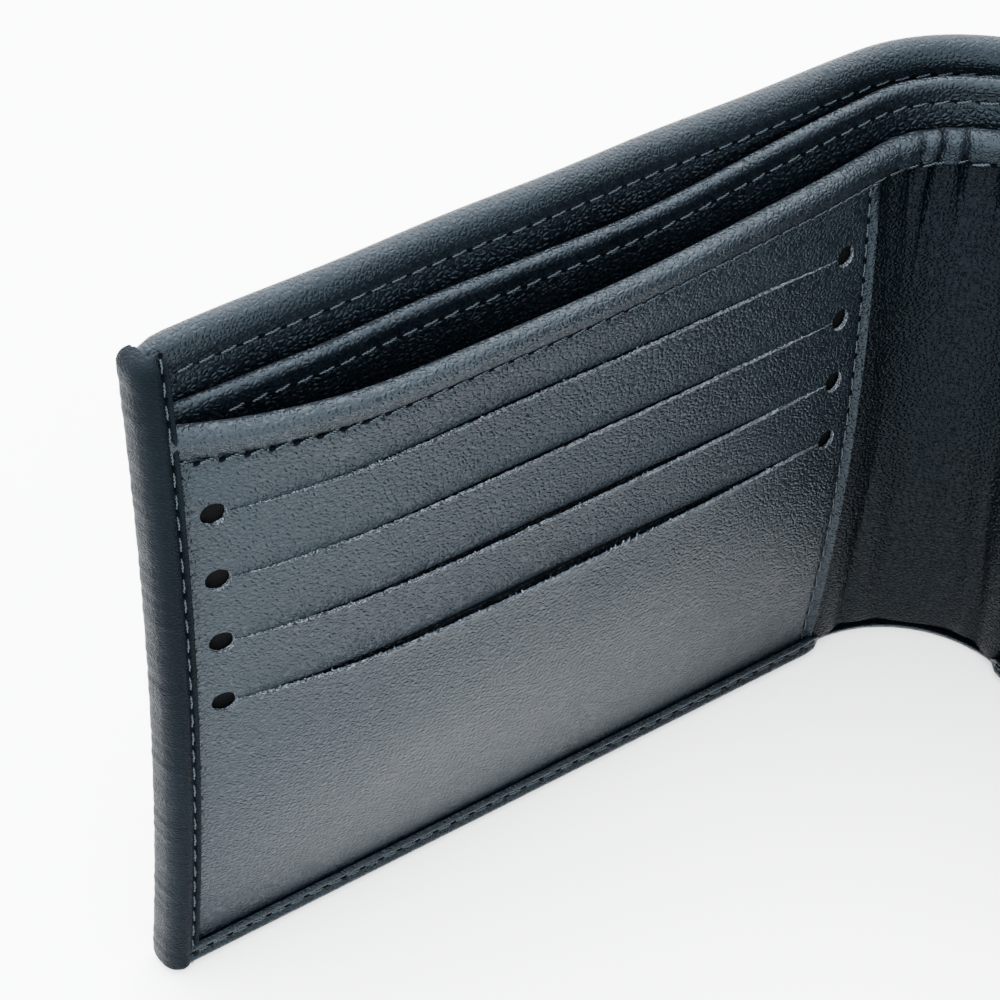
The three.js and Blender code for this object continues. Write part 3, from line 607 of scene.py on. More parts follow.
# painted shade: a darker, less glossy copy of the inner leather for the spine's lining, standing in for the
# shade inside the spine
SHADED_SPINE_LEATHER = leather(
    "spine_leather", dye=(0.0007, 0.0012, 0.0018), worn_and_lit=(0.008, 0.01, 0.012), cell=0.7, stretch=(1, 1, 1.3),
    wrinkle=0.7, depth=0.14, gloss=0.34, crease_shade=0.35, specular=0.038)
PEBBLED = leather(
    "pebbled_lining", dye=(0.0009, 0.0016, 0.0025), worn_and_lit=(0.01, 0.012, 0.015), cell=0.74, stretch=(1, 1, 1.1),
    wrinkle=0.3, depth=0.095, gloss=0.34, crease_shade=0.6, specular=0.11)
SLEEVE_FABRIC = woven("sleeve_fabric", (0.0006, 0.0008, 0.001), 0.25, 0.85)
THREAD_FINISH = fibrous(
    "black_thread", (0.0007, 0.0011, 0.0015), (0.005, 0.0065, 0.0085), size=0.12, roughness=0.24, depth=0.03,
    specular=0.26)
# painted shade: near-black discs over the needle holes
NEEDLE_HOLE_SHADE = fibrous("needle_hole", (0.0002, 0.0003, 0.0004), (0.0005, 0.0006, 0.0008), 0.2, 0.9, 0.02, 0.02)
# pale fibres of the cut leather, lightened further as a painted highlight where the slits' lower lips catch
# the light
CUT_EDGE_FIBRE_AND_HIGHLIGHT = fibrous("cut_edge", (0.002, 0.0026, 0.0033), (0.11, 0.125, 0.145), 0.17, 0.5, 0.14, 0.22)
FIBRE = fibrous("loose_fibre", (0.012, 0.015, 0.018), (0.14, 0.155, 0.175), 0.25, 0.6, 0.01, 0.2)
CLEAR_VINYL = clear_sheet("clear_vinyl")


# ---------------------------------------------------------------- camera, light and floor
def aim_camera():
    """Looks down into the open leaf from its outer side, with a slight roll; angles in radians."""
    position = np.array([-178.25, -107.24, 268.84])
    pitch, yaw, roll = 0.684748, 0.658960, 0.041817
    forward = np.array([math.sin(yaw) * math.cos(pitch), math.cos(yaw) * math.cos(pitch), -math.sin(pitch)])
    right = np.array([math.cos(yaw), -math.sin(yaw), 0])
    up = np.cross(right, forward)
    across = right * math.cos(roll) + up * math.sin(roll)
    upward = -right * math.sin(roll) + up * math.cos(roll)
    data = bpy.data.cameras.new("camera")
    data.sensor_width = 36
    data.lens = 104.517
    data.clip_start, data.clip_end = 0.01, 20
    camera = add_object("camera", data)
    matrix = np.eye(4)
    matrix[:3, 0], matrix[:3, 1], matrix[:3, 2], matrix[:3, 3] = across, upward, -forward, position * MM
    camera.matrix_world = Matrix(matrix.tolist())
    bpy.context.scene.camera = camera


def area_light(name, position, target, size, power, colour=(1, 1, 1)):
    data = bpy.data.lights.new(name, "AREA")
    data.shape = "RECTANGLE"
    data.size, data.size_y = size
    data.energy = power
    data.color = colour
    light = add_object(name, data)
    light.location = position
    light.rotation_mode = "QUATERNION"
    light.rotation_quaternion = (Vector(target) - Vector(position)).to_track_quat("-Z", "Y")


def studio():
    """Bright pale surroundings, two soft lights and a pale floor."""
    world = bpy.data.worlds.new("studio")
    world.use_nodes = True
    world.node_tree.nodes["Background"].inputs["Color"].default_value = (0.95, 0.975, 1.0, 1)
    world.node_tree.nodes["Background"].inputs["Strength"].default_value = 9.5
    bpy.context.scene.world = world
    area_light("overhead", (0.1, 0.25, 0.7), (0, 0, 0.03), (0.8, 0.6), 22)
    area_light("front", (-0.5, -0.6, 0.5), (0, 0, 0.03), (0.7, 0.7), 12)
    size = 3.0  # metres from the middle
    corners = [(-size, -size, 0), (size, -size, 0), (size, size, 0), (-size, size, 0)]
    mesh = bpy.data.meshes.new("floor")
    mesh.from_pydata(corners, [], [(0, 1, 2, 3)])
    floor = add_object("floor", mesh)
    material, _, shader = new_material("floor")
    shader.inputs["Base Color"].default_value = (0.95, 0.95, 0.955, 1)
    shader.inputs["Roughness"].default_value = 0.6
    mesh.materials.append(material)


aim_camera()
studio()


# ---------------------------------------------------------------- long sheets of a leaf and half the spine
PLEATS = {
    # place along the spine, depth, width, how far down it runs, lean
    "left": [(-4.6, 1.0, 0.34, 17, 0.05), (-7.4, 1.25, 0.28, 30, 0.09), (-10.3, 1.0, 0.36, 18, -0.04)],
    "centre": [(-6.4, 1.0, 0.36, 20, 0.03), (-9.6, 1.1, 0.28, 15, -0.06), (-3.4, 0.6, 0.45, 10, 0.05)],
}


def pleats(side, s, z):
    """How far the gathered spine lining is folded back, and how much its mouth drops there."""
    fold = np.zeros_like(s)
    for middle, depth, width, run, lean in PLEATS[side]:
        off = (s - middle - lean * (POCKET_TOP - z)) / width
        reach = ease(POCKET_TOP - run, POCKET_TOP - 3, z)
        fold = fold + depth * np.exp(-np.abs(off) ** 1.3) * (0.25 + 0.75 * reach) * reach
    return fold * ease(-HALF_SPINE, -HALF_SPINE + 0.8, s)


def soft_folds(side, s, z):
    """Broad soft folds low on the spine lining."""
    low = 1 - ease(12, 48, z)
    a = 0.55 * bands(s, -3.6, 1.1) + 0.3 * bands(s, -8.4 if side == "left" else -7.2, 1.5)
    return a * low * ease(-HALF_SPINE, -HALF_SPINE + 1, s) * ease(0.5, -2, s)


def shell(side):
    """Outer leather, turned in at its top and up over the foot of the pocket, with half the spine."""
    hem = line((TOP_HEM_MIDDLE, TOP_HEM_END), (TOP_HEM_MIDDLE, 90.9), 5)
    roll = arc((-3.65, 90.95), 0.66, 0, 180, 10)
    back = line((SHELL_MIDDLE, 90.9), (SHELL_MIDDLE, 1.5), 30)
    heel = arc((-3.3, 1.45), 1.0, 180, 270, 5)
    sole = line((-3.3, 0.45), (-1.3, 0.4), 3)
    toe = arc((-1.3, 1.4), 1.0, 270, 360, 5)
    flange = line((TURN_MIDDLE, 1.4), (TURN_MIDDLE, BOTTOM_TURN + 0.3), 9)
    path = joined(hem, roll, back, heel, sole, toe, flange)
    last = len(path) - 1  # the turned borders are pared thinner
    thick = np.interp(np.arange(len(path)), [0, 6, 12, last - 14, last], [0.42, 0.5, 0.9, 0.85, 0.6])
    outline = ribbon(path, thick)

    def bend(s, v, z):
        on_flange = (v > -2.6) & (z < 6)
        away = ease(SEAM_INSET + 0.5, -1.2, s)
        z = np.where(on_flange & (z > 0.9), 0.9 + (z - 0.9) * (1 - 0.93 * away), z)
        v = v - np.where(z < 6, np.clip(v + 3.4, 0, None) * 0.45 * away, 0)
        ridges = 0.22 * bands(z, BOTTOM_TURN, 0.45) + 0.2 * bands(z, 1.5, 0.5)
        groove = (0.34 * bands(z, BOTTOM_STITCH, 0.42) - ridges) * (v > -1.5) * (1 - away)
        bead = 0.75 * bands(z, 89.9, 1.5) * np.clip((v + 3.9) / 1.0, 0, 1)
        pull = 0.25 * bands(z, TOP_HEM_END + 0.9, 0.6) * (v > -3.7)
        corner = ease(TURN_START - 0.8, TURN_START + 1.4, s)
        z = z - 0.8 * corner * ease(84, 90, z)
        bead = bead * (1 - corner)
        return s, v + shell_lean(s, z) + bead - pull - groove + shell_sway(s, z) * (z > 6), z

    def wear_and_highlight(s, v, z):
        # paler along the top roll, as rubbing wear and a painted highlight; the sole's paler band is rubbing
        # wear
        return 0.55 * bands(z, 92.0, 0.9) + 0.25 * (z < 0.6)

    stations = leaf_stations(-HALF_SPINE, TURN_START + 1.4, LEAF_STEP)
    piece = sweep(f"{side}_shell", side, stations, outline, bend, [SHELL_LEATHER], wear_and_highlight)
    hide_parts(f"{side}_shell", f"{side}_top_turned_edge", f"{side}_bottom_turned_edge")
    return piece


def shell_lining(side):
    """Pebbled back wall of the bill pocket."""
    outline = ribbon(line((LINING_MIDDLE, 1.1), (LINING_MIDDLE, 90.4), 40), LINING_THICK)

    def bend(s, v, z):
        return s, v + shell_lean(s, z) + shell_sway(s, z), z

    stations = leaf_stations(-HALF_SPINE, TURN_START + 1, 2)
    piece = sweep(f"{side}_shell_lining", side, stations, outline, bend, [PEBBLED])
    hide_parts(f"{side}_shell_lining")
    return piece


def divider_rise(s):
    """How much higher the divider's top runs than its straight height."""
    return DIVIDER_RISE * (1 - ease(-4, 40, s)) - 0.35 * ease(62, 84, s) - 0.8 * ease(86, 101, s)


def divider(side):
    """Sheet that parts the bill pocket in two, folded over and sewn along its top."""
    r = 0.24
    front = DIVIDER_MIDDLE + 2 * r
    top = DIVIDER_TOP - 0.15
    path = joined(
        line((DIVIDER_MIDDLE, 1.1), (DIVIDER_MIDDLE, top - r), 40),
        arc((DIVIDER_MIDDLE + r, top - r), r, 180, 0, 8),
        line((front, top - r), (front - 0.1, DIVIDER_TOP - DIVIDER_HEM), 8))
    outline = ribbon(path, DIVIDER_THICK)

    def bend(s, v, z):
        bead = np.clip((TURN_START + 1 - s) / 12, 0.15, 1)
        swell = bands(z, DIVIDER_TOP - 0.9, 1.1) * bead
        v = v + np.where(v > DIVIDER_MIDDLE + r, 0.5, -0.12) * swell
        v = v - 0.14 * bands(z, DIVIDER_TOP - DIVIDER_HEM + 0.8, 0.5)
        z = z + divider_rise(s) * ease(55, 82, z)
        return s, v + divider_lean(s, z) + divider_sway(s, z), z

    def wear_and_highlight(s, v, z):
        # paler along the divider's top roll, as rubbing wear and a painted highlight
        return 0.6 * bands(z, DIVIDER_TOP, 0.8)

    stations = leaf_stations(-HALF_SPINE, TURN_START + 1, LEAF_STEP)
    piece = sweep(f"{side}_divider", side, stations, outline, bend, [PEBBLED], wear_and_highlight)
    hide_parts(f"{side}_divider")
    return piece


def pocket_wall(side):
    """The wall behind the cards, its turned mouth, and the gathered lining of the spine, in one sheet."""
    r = (HEM_MIDDLE - WALL_MIDDLE) / 2
    top = POCKET_TOP - 0.2
    path = joined(
        line((WALL_MIDDLE, 1.1), (WALL_MIDDLE, 60), 28),
        line((WALL_MIDDLE, 60), (WALL_MIDDLE, top - r), 24),
        arc((WALL_MIDDLE + r, top - r), r, 180, 0, 10),
        line((HEM_MIDDLE, top - r), (HEM_MIDDLE, HEM_STITCH), 10))
    thick = np.interp(np.arange(len(path)), [50, 62], [WALL_THICK, HEM_THICK])  # thicker past the fold
    outline = ribbon(path, thick)

    def bend(s, v, z):
        at_spine = ease(3.0, -1.0, s)
        lean = pocket_lean(s, z)
        v = v + SPINE_WALL_STEP * at_spine * (1 - ease(58, 77, z))
        front = v > -1.6
        v = v + (0.8 * bands(z, POCKET_TOP - 1.6, 1.35) - 0.36 * bands(z, HEM_STITCH + 0.15, 0.55)) * front
        folded = pleats(side, s, z) * at_spine
        v = v - folded * (1.0 - 0.35 * bands(z, POCKET_TOP, 0.8)) - soft_folds(side, s, z)
        puff = 0.1 * np.sin(s * 1.9) * at_spine * ease(50, 80, z) * ease(-HALF_SPINE, -HALF_SPINE + 2, s)
        z = z - 0.45 * folded * ease(74, 82, z)
        arch = 1.5 * ease(0.8, -5.5, s) - 0.3 * ease(-9, -HALF_SPINE, s)
        z = z + arch * (1 - ease(1.1, 9, z))
        return s, v + lean + puff + pocket_sway(s, z), z

    def wear_and_highlight(s, v, z):
        # paler along the pocket's rolled mouth, as rubbing wear and a painted highlight
        return 0.6 * bands(z, POCKET_TOP, 0.9)

    stations = leaf_stations(-HALF_SPINE, TURN_START + 1, LEAF_STEP, 0.16)
    # the spine's lining below the hem takes the darker copy of the leather, as painted shade
    piece = sweep(
        f"{side}_pocket_wall", side, stations, outline, bend, [PANEL_LEATHER, SHADED_SPINE_LEATHER], wear_and_highlight,
        second=lambda s, v, z: (s < 2.2) & (z < HEM_STITCH + 0.2))
    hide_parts(f"{side}_pocket_wall")
    return piece


# ---------------------------------------------------------------- card panel with its slits
def slit_bow(s, z):
    """How much higher the panel's slits run than their straight height."""
    outer, middle, inner = 0.8, 0.6 + 1.1 * ease(45, 70, z), -1.3 + 1.1 * ease(44, 70, z)
    a, b, c = SLIT_OUTER, 61.0, SLIT_INNER
    bow = outer * (s - b) * (s - c) / ((a - b) * (a - c)) + middle * (s - a) * (s - c) / ((b - a) * (b - c))
    bow = bow + inner * (s - a) * (s - b) / ((c - a) * (c - b))
    return bow * ease(4, 32, z) * (1 - ease(71.5, 77.8, z))


def slit_window(s):
    """1 in the middle of a slit and 0 at its round ends."""
    t = np.clip((s - SLIT_INNER) / (SLIT_OUTER - SLIT_INNER), 0, 1)
    return np.sin(np.pi * t) ** 0.7


def panel_relief(s, z, below):
    """Depth added at a point of the panel; below says that the point is under the nearest slit."""
    window = slit_window(s)
    depth = np.zeros_like(s)
    for k, height in enumerate(SLIT_HEIGHTS):
        above = np.clip(z - height, 0, None)
        under = np.clip(height - z, 0, None)
        upper_side = (z > height + 1e-6) | ((np.abs(z - height) <= 1e-6) & ~below)
        depth = depth + np.where(
            upper_side, -SLIT_DIP[k] * np.exp(-above / 2.2), SLIT_LIFT[k] * np.exp(-under / 1.8)) * window
    groove = 0.32 * bands(s, SEAM_STITCH, 0.5) * (1 - ease(HEM_STITCH - 1, HEM_STITCH, z))
    lip = 0.4 * ease(SEAM_INSET + 1.15, SEAM_INSET + 0.4, s) - 0.35 * ease(SEAM_INSET + 0.3, SEAM_INSET, s)
    lip = lip * (1 - 0.6 * ease(HEM_STITCH - 6, HEM_STITCH, z))
    tuck = 0.14 * ease(HEM_STITCH - 0.8, HEM_STITCH, z)
    return depth - groove + lip - tuck + pocket_sway(s, z)


def spaced(low, high, coarse, dense_at, dense_reach, fine):
    """Grid lines from low to high, closer together around each place in dense_at."""
    lines = [low]
    while lines[-1] < high:
        near = any(abs(lines[-1] + fine - d) < dense_reach for d in dense_at)
        lines.append(lines[-1] + (fine if near else coarse))
    lines[-1] = high
    return np.array(lines)


def card_panel(side):
    """One leather panel, cut by four slits that end in round holes."""
    columns = spaced(SEAM_INSET, TURN_START + 0.6, 0.36, [SLIT_INNER, SLIT_OUTER], 1.75, 0.19)
    rows = spaced(1.1, HEM_STITCH - 0.05, 1.1, SLIT_HEIGHTS, 1.7, 0.19)
    for height in SLIT_HEIGHTS:
        rows[np.argmin(np.abs(rows - height))] = height
    s, z = np.meshgrid(columns, rows, indexing="ij")
    across, up = s.shape
    number = np.arange(across * up).reshape(across, up)
    upper = number.copy()
    flat_s, flat_z, below = list(s.ravel()), list(z.ravel()), [False] * (across * up)
    for height in SLIT_HEIGHTS:
        j = int(np.argmin(np.abs(rows - height)))
        for i in np.flatnonzero((columns > SLIT_INNER) & (columns < SLIT_OUTER)):
            upper[i, j] = len(flat_s)
            flat_s.append(columns[i])
            flat_z.append(height)
            below.append(False)
            below[number[i, j]] = True
    # cells, without those inside the round holes
    middle_s = (s[:-1, :-1] + s[1:, 1:]) / 2
    middle_z = (z[:-1, :-1] + z[1:, 1:]) / 2
    kept = np.ones_like(middle_s, bool)
    centres = [(e, h) for e in (SLIT_INNER, SLIT_OUTER) for h in SLIT_HEIGHTS]
    for e, h in centres:
        kept &= np.hypot(middle_s - e, middle_z - h) > HOLE_RADIUS
    quads = []
    for i, j in zip(*np.nonzero(kept)):
        quads.append((upper[i, j], upper[i + 1, j], number[i + 1, j + 1], number[i, j + 1]))
    flat_s, flat_z, below = np.array(flat_s), np.array(flat_z), np.array(below)
    # the edge of each hole is drawn on to its circle
    edges = {}
    for q in quads:
        for a, b in zip(q, q[1:] + q[:1]):
            edges[(a, b)] = edges.get((a, b), 0) + 1
    rim = [(a, b) for a, b in edges if (b, a) not in edges]
    on_rim = np.zeros(len(flat_s), bool)
    on_rim[[a for a, b in rim]] = True
    for e, h in centres:
        away = np.hypot(flat_s - e, flat_z - h)
        snap = on_rim & (away < HOLE_RADIUS + 0.3) & (away > HOLE_RADIUS - 0.3)
        flat_s[snap] = e + (flat_s[snap] - e) / away[snap] * HOLE_RADIUS
        flat_z[snap] = h + (flat_z[snap] - h) / away[snap] * HOLE_RADIUS
    front = PANEL_FRONT + pocket_lean(flat_s, flat_z) + panel_relief(flat_s, flat_z, below)
    bow = slit_bow(flat_s, flat_z)
    opened = flat_z.copy()
    for k, height in enumerate(SLIT_HEIGHTS):
        off = flat_z - height
        gape = SLIT_GAPE[k] / 2 * slit_window(flat_s) * np.exp(-np.abs(off) / 1.2)
        on_line = np.abs(off) < 1e-6
        direction = np.where(on_line, np.where(below, -1, 1), np.sign(off))
        opened = opened + gape * direction * (np.abs(off) < 4)
    # ragged lower lips of the cuts
    ragged = np.random.default_rng(2).uniform(-0.05, 0.13, len(flat_s))
    opened = opened + ragged * (np.isin(np.round(flat_z, 4), np.round(SLIT_HEIGHTS, 4)) & on_rim & below)
    used = sorted({a for q in quads for a in q})
    index = {a: i for i, a in enumerate(used)}
    count = len(used)
    opened = opened + bow
    front_points = place(side, flat_s[used], front[used], opened[used])
    back_points = place(side, flat_s[used], front[used] - PANEL_THICK, opened[used])
    faces = [tuple(index[a] for a in q) for q in quads]
    faces += [tuple(index[a] + count for a in reversed(q)) for q in quads]
    rim_faces = [(index[b], index[a], index[a] + count, index[b] + count) for a, b in rim]
    # cut faces of the slits and holes take the pale cut-edge finish, partly a painted highlight
    kinds = [0] * len(faces) + [1] * len(rim_faces)
    piece = make_piece(
        f"{side}_card_panel", np.concatenate([front_points, back_points]), faces + rim_faces,
        [PANEL_LEATHER, CUT_EDGE_FIBRE_AND_HIGHLIGHT], face_material=kinds, sharp=50)
    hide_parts(f"{side}_card_panel")
    return piece


def card_sleeves(side):
    """Fabric behind each slit, that the cards slide into."""
    points, faces = [], []
    for k, height in enumerate(SLIT_HEIGHTS):
        foot = SLIT_HEIGHTS[k + 1] - 0.4 if k < 3 else 8
        outline = ribbon(line((SLEEVE_MIDDLE, foot), (SLEEVE_MIDDLE, height + 2.4), 8), SLEEVE_THICK)
        stations = np.linspace(SLIT_INNER - 2, SLIT_OUTER + 2, 60)
        s, v, z = grid(stations, outline)
        v = v - 0.08 * k
        v = v + pocket_lean(s, z) - SLIT_DIP[k] * 0.7 * np.exp(-np.abs(z - height) / 3) * slit_window(s)
        z = z + slit_bow(s, z)
        start = sum(len(p) for p in points)
        points.append(place(side, s, v, z).reshape(-1, 3))
        part = flip_inward(points[-1], ring_faces(len(stations), len(outline)))
        faces += [tuple(a + start for a in f) for f in part]
    piece = make_piece(f"{side}_card_sleeves", np.concatenate(points), faces, [SLEEVE_FABRIC])
    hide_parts(*[f"{side}_card_sleeve_{k + 1}" for k in range(4)])
    return piece


# ---------------------------------------------------------------- turned outer edge
def smooth_line(points, steps):
    """Catmull-Rom curve through the points."""
    p = np.array(points, float)
    p = np.concatenate([[2 * p[0] - p[1]], p, [2 * p[-1] - p[-2]]])
    out = []
    for i in range(1, len(p) - 2):
        for t in np.linspace(0, 1, steps, endpoint=False):
            a, b, c, d = p[i - 1], p[i], p[i + 1], p[i + 2]
            curved = (2 * a - 5 * b + 4 * c - d) * t**2 + (3 * b - a - 3 * c + d) * t**3
            out.append(0.5 * (2 * b + (c - a) * t + curved))
    out.append(p[-2])
    return np.array(out)


def edge_bar(name, spot, inner, outer, back, front, foot, top, wave_seed):
    """Leather turned round an outer edge; spot(s, v, z) places its points. Returns the piece."""
    round_end = 1.7
    skin = smooth_line([
        (inner, front - 0.6), (inner - 0.02, front - 0.15), (inner + 0.25, front + 0.02),
        (inner + 0.55, front - 0.12), (inner + 0.8, front - 0.4), (inner + 1.05, front - 0.1),
        (inner + 1.5, front + 0.38), (inner + 2.3, front + 0.5), (outer - 0.75, front - 0.05),
        (outer - 0.2, front - 0.85), (outer, front - 1.8), (outer - 0.04, back + 1.5),
        (outer - 0.35, back + 0.5), (outer - 1.0, back + 0.06), (outer - 1.9, back)], 3)
    inside = np.array([
        (outer - 1.9, back + 0.7), (outer - 2.3, back + 0.9),
        (outer - 2.3, front - 0.8), (inner + 0.3, front - 0.7)])
    outline = np.concatenate([skin, inside])
    heights = np.r_[foot + round_end * (1 - np.cos(np.linspace(0, np.pi / 2, 7))),
                    np.arange(foot + round_end + 0.8, top - round_end - 0.4, 0.8),
                    top - round_end * (1 - np.cos(np.linspace(np.pi / 2, 0, 7)))]
    centre = np.array([outer - 2.2, (front + back) / 2])
    s = np.repeat(outline[None, :, 0], len(heights), 0)
    v = np.repeat(outline[None, :, 1], len(heights), 0)
    z = np.repeat(heights[:, None], len(outline), 1)
    end = np.minimum(z - foot, top - z)
    shrink = np.sqrt(np.clip(1 - (1 - np.clip(end / round_end, 0, 1)) ** 2, 0.04, 1))
    out = s > centre[0]
    s = np.where(out, centre[0] + (s - centre[0]) * (0.35 + 0.65 * shrink), s)
    v = centre[1] + (v - centre[1]) * (0.55 + 0.45 * shrink)
    ripple = 0.05 * np.sin(z * 1.9 + wave_seed) * np.sin(z * 0.73) + 0.03 * np.sin(z * 4.7 + s)
    s = s + np.where(out, ripple, 0)
    points = spot(s, v, z)
    wear_and_highlight = 0.3 * (1 - shrink) + 0.12 * bands(s, outer, 0.8)
    piece = make_piece(name, points, ring_faces(len(heights), len(outline)), [EDGE_LEATHER], wear_and_highlight)
    return piece


def side_edge(side):
    """Leather turned round the leaf's outer edge."""
    back = {"left": -5.0, "centre": -4.75}[side]
    piece = edge_bar(
        f"{side}_side_edge", lambda s, v, z: place(side, s, v, z),
        TURN_START, LEAF_WIDTH + EDGE_PUFF, back, 0.1, 0.0, LEAF_HEIGHT - 0.2, 1.0)
    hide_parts(f"{side}_side_turned_edge")
    return piece


# ---------------------------------------------------------------- stitching by Geometry Nodes
def strand_template():
    """One stitch of two-ply thread along X, dipping into the leather at both ends."""
    points, faces = [], []
    steps, around, turns = 8, 4, 2.6
    for ply in (0, 1):
        rings = []
        for i in range(steps + 1):
            t = i / steps
            x = (t - 0.5) * STITCH_LENGTH
            rise = 0.24 * np.sin(np.pi * t) ** 0.5 - 0.16
            swing = 0.13 * np.sin(np.pi * t) ** 0.4
            a = 2 * np.pi * turns * t + np.pi * ply
            centre = np.array([x, swing * np.cos(a), rise + swing * np.sin(a)])
            for k in range(around):
                b = 2 * np.pi * k / around
                rings.append(centre + STRAND_RADIUS * np.array([0, np.cos(b), np.sin(b)]))
        start = len(points)
        points += rings
        faces += [tuple(a + start for a in f) for f in ring_faces(steps + 1, around)]
    return template("stitch", points, faces)


def hole_template():
    """A disc over a needle hole, where one stitch goes down and the next comes up; its near-black finish is
    painted shade.
    """
    around = 8
    turns = [2 * math.pi * k / around for k in range(around)]
    rim = [(0.46 * math.cos(a), 0.3 * math.sin(a)) for a in turns]
    points = [(x + STITCH_PITCH / 2, y, 0.03) for x, y in rim]
    points += [(x * 0.7 + STITCH_PITCH / 2, y * 0.7, -0.25) for x, y in rim]
    return template("needle_hole", points, ring_faces(2, around))


def template(name, points, faces):
    """A small shape, in millimetres, that the stitching repeats; it is removed at the end."""
    points = np.array(points, float) * MM
    mesh = bpy.data.meshes.new(name)
    mesh.from_pydata(points.tolist(), [], flip_inward(points, faces))
    mesh.shade_smooth()
    return add_object(name, mesh)


def seam_tree():
    """Lays stitches, and discs of painted shade at the needle holes, along every seam line of a mesh."""
    tree = bpy.data.node_groups.new("Seam Stitches", "GeometryNodeTree")
    sockets = {}
    for label, kind in (
        ("Seam Lines", "NodeSocketGeometry"), ("Stitch Pitch", "NodeSocketFloat"),
        ("Slant", "NodeSocketFloat"), ("Unevenness", "NodeSocketFloat"), ("Seed", "NodeSocketInt"),
        ("Stitch", "NodeSocketObject"), ("Needle Hole", "NodeSocketObject"),
        ("Thread Finish", "NodeSocketMaterial"), ("Hole Shade", "NodeSocketMaterial"),
    ):
        sockets[label] = tree.interface.new_socket(label, in_out="INPUT", socket_type=kind).identifier
    tree.interface.new_socket("Stitching", in_out="OUTPUT", socket_type="NodeSocketGeometry")
    given = tree.nodes.new("NodeGroupInput")
    made = tree.nodes.new("NodeGroupOutput")
    link = tree.links.new

    to_curve = tree.nodes.new("GeometryNodeMeshToCurve")
    link(given.outputs["Seam Lines"], to_curve.inputs["Mesh"])
    to_points = add_node(tree, "GeometryNodeCurveToPoints", mode="LENGTH")
    link(to_curve.outputs["Curve"], to_points.inputs["Curve"])
    link(given.outputs["Stitch Pitch"], to_points.inputs["Length"])
    outward = add_node(tree, "GeometryNodeInputNamedAttribute", data_type="FLOAT_VECTOR")
    outward.inputs["Name"].default_value = "outward"
    aligned = add_node(tree, "FunctionNodeAxesToRotation", primary_axis="Z", secondary_axis="X")
    link(outward.outputs[0], aligned.inputs["Primary Axis"])
    link(to_points.outputs["Tangent"], aligned.inputs["Secondary Axis"])
    random = add_node(tree, "FunctionNodeRandomValue", data_type="FLOAT")
    random.inputs[2].default_value = -1.0
    random.inputs[3].default_value = 1.0
    link(given.outputs["Seed"], random.inputs["Seed"])
    spin = add_node(tree, "ShaderNodeMath", operation="MULTIPLY_ADD")
    link(random.outputs[1], spin.inputs[0])
    link(given.outputs["Unevenness"], spin.inputs[1])
    link(given.outputs["Slant"], spin.inputs[2])
    turn = tree.nodes.new("ShaderNodeCombineXYZ")
    link(spin.outputs[0], turn.inputs["Z"])
    about = tree.nodes.new("FunctionNodeEulerToRotation")
    link(turn.outputs[0], about.inputs[0])
    turned = add_node(tree, "FunctionNodeRotateRotation", rotation_space="LOCAL")
    link(aligned.outputs[0], turned.inputs[0])
    link(about.outputs[0], turned.inputs[1])

    parts = []
    for shape, finish, rotation in (
        ("Stitch", "Thread Finish", turned.outputs[0]), ("Needle Hole", "Hole Shade", aligned.outputs[0]),
    ):
        info = tree.nodes.new("GeometryNodeObjectInfo")
        link(given.outputs[shape], info.inputs["Object"])
        put = tree.nodes.new("GeometryNodeInstanceOnPoints")
        link(to_points.outputs["Points"], put.inputs["Points"])
        link(info.outputs["Geometry"], put.inputs["Instance"])
        link(rotation, put.inputs["Rotation"])
        real = tree.nodes.new("GeometryNodeRealizeInstances")
        link(put.outputs["Instances"], real.inputs["Geometry"])
        painted = tree.nodes.new("GeometryNodeSetMaterial")
        link(real.outputs["Geometry"], painted.inputs["Geometry"])
        link(given.outputs[finish], painted.inputs["Material"])
        parts.append(painted.outputs["Geometry"])
    both = tree.nodes.new("GeometryNodeJoinGeometry")
    for part in parts:
        link(part, both.inputs[0])
    link(both.outputs[0], made.inputs[0])
    return tree, sockets


STITCH_SHAPE = strand_template()
HOLE_SHAPE = hole_template()
SEAM_TREE, SEAM_SOCKETS = seam_tree()


def stitch(name, seams, pitch=STITCH_PITCH, slant=0.0, seed=1):
    """Stitching along several seams, each (points, outward normals) in metres; returns one plain mesh."""
    points = np.concatenate([p for p, _ in seams])
    normals = np.concatenate([n for _, n in seams])
    edges, start = [], 0
    for p, _ in seams:
        edges += [(start + i, start + i + 1) for i in range(len(p) - 1)]
        start += len(p)
    mesh = bpy.data.meshes.new(name)
    mesh.from_pydata(points.tolist(), edges, [])
    outward = mesh.attributes.new("outward", "FLOAT_VECTOR", "POINT")
    outward.data.foreach_set("vector", normals.astype(np.float32).ravel())
    source = add_object(name + "_seams", mesh)
    modifier = source.modifiers.new("stitches", "NODES")
    modifier.node_group = SEAM_TREE
    for label, value in (
        ("Stitch Pitch", pitch * MM), ("Slant", slant), ("Unevenness", 0.06), ("Seed", seed),
        ("Stitch", STITCH_SHAPE), ("Needle Hole", HOLE_SHAPE),
        ("Thread Finish", THREAD_FINISH), ("Hole Shade", NEEDLE_HOLE_SHADE),
    ):
        modifier[SEAM_SOCKETS[label]] = value
    bpy.context.view_layer.update()
    graph = bpy.context.evaluated_depsgraph_get()
    final = bpy.data.meshes.new_from_object(source.evaluated_get(graph), depsgraph=graph)
    final.name = name
    bpy.data.objects.remove(source)
    piece = add_object(name, final)
    return piece


def seam(spot, s, v, z):
    """Points of a seam and the direction away from the leather, from a placing function."""
    s, v, z = (np.asarray(a, float) for a in np.broadcast_arrays(s, v, z))
    points = spot(s, v, z)
    normals = spot(s, v + 0.5, z) - points
    return points, normals / np.linalg.norm(normals, axis=1)[:, None]


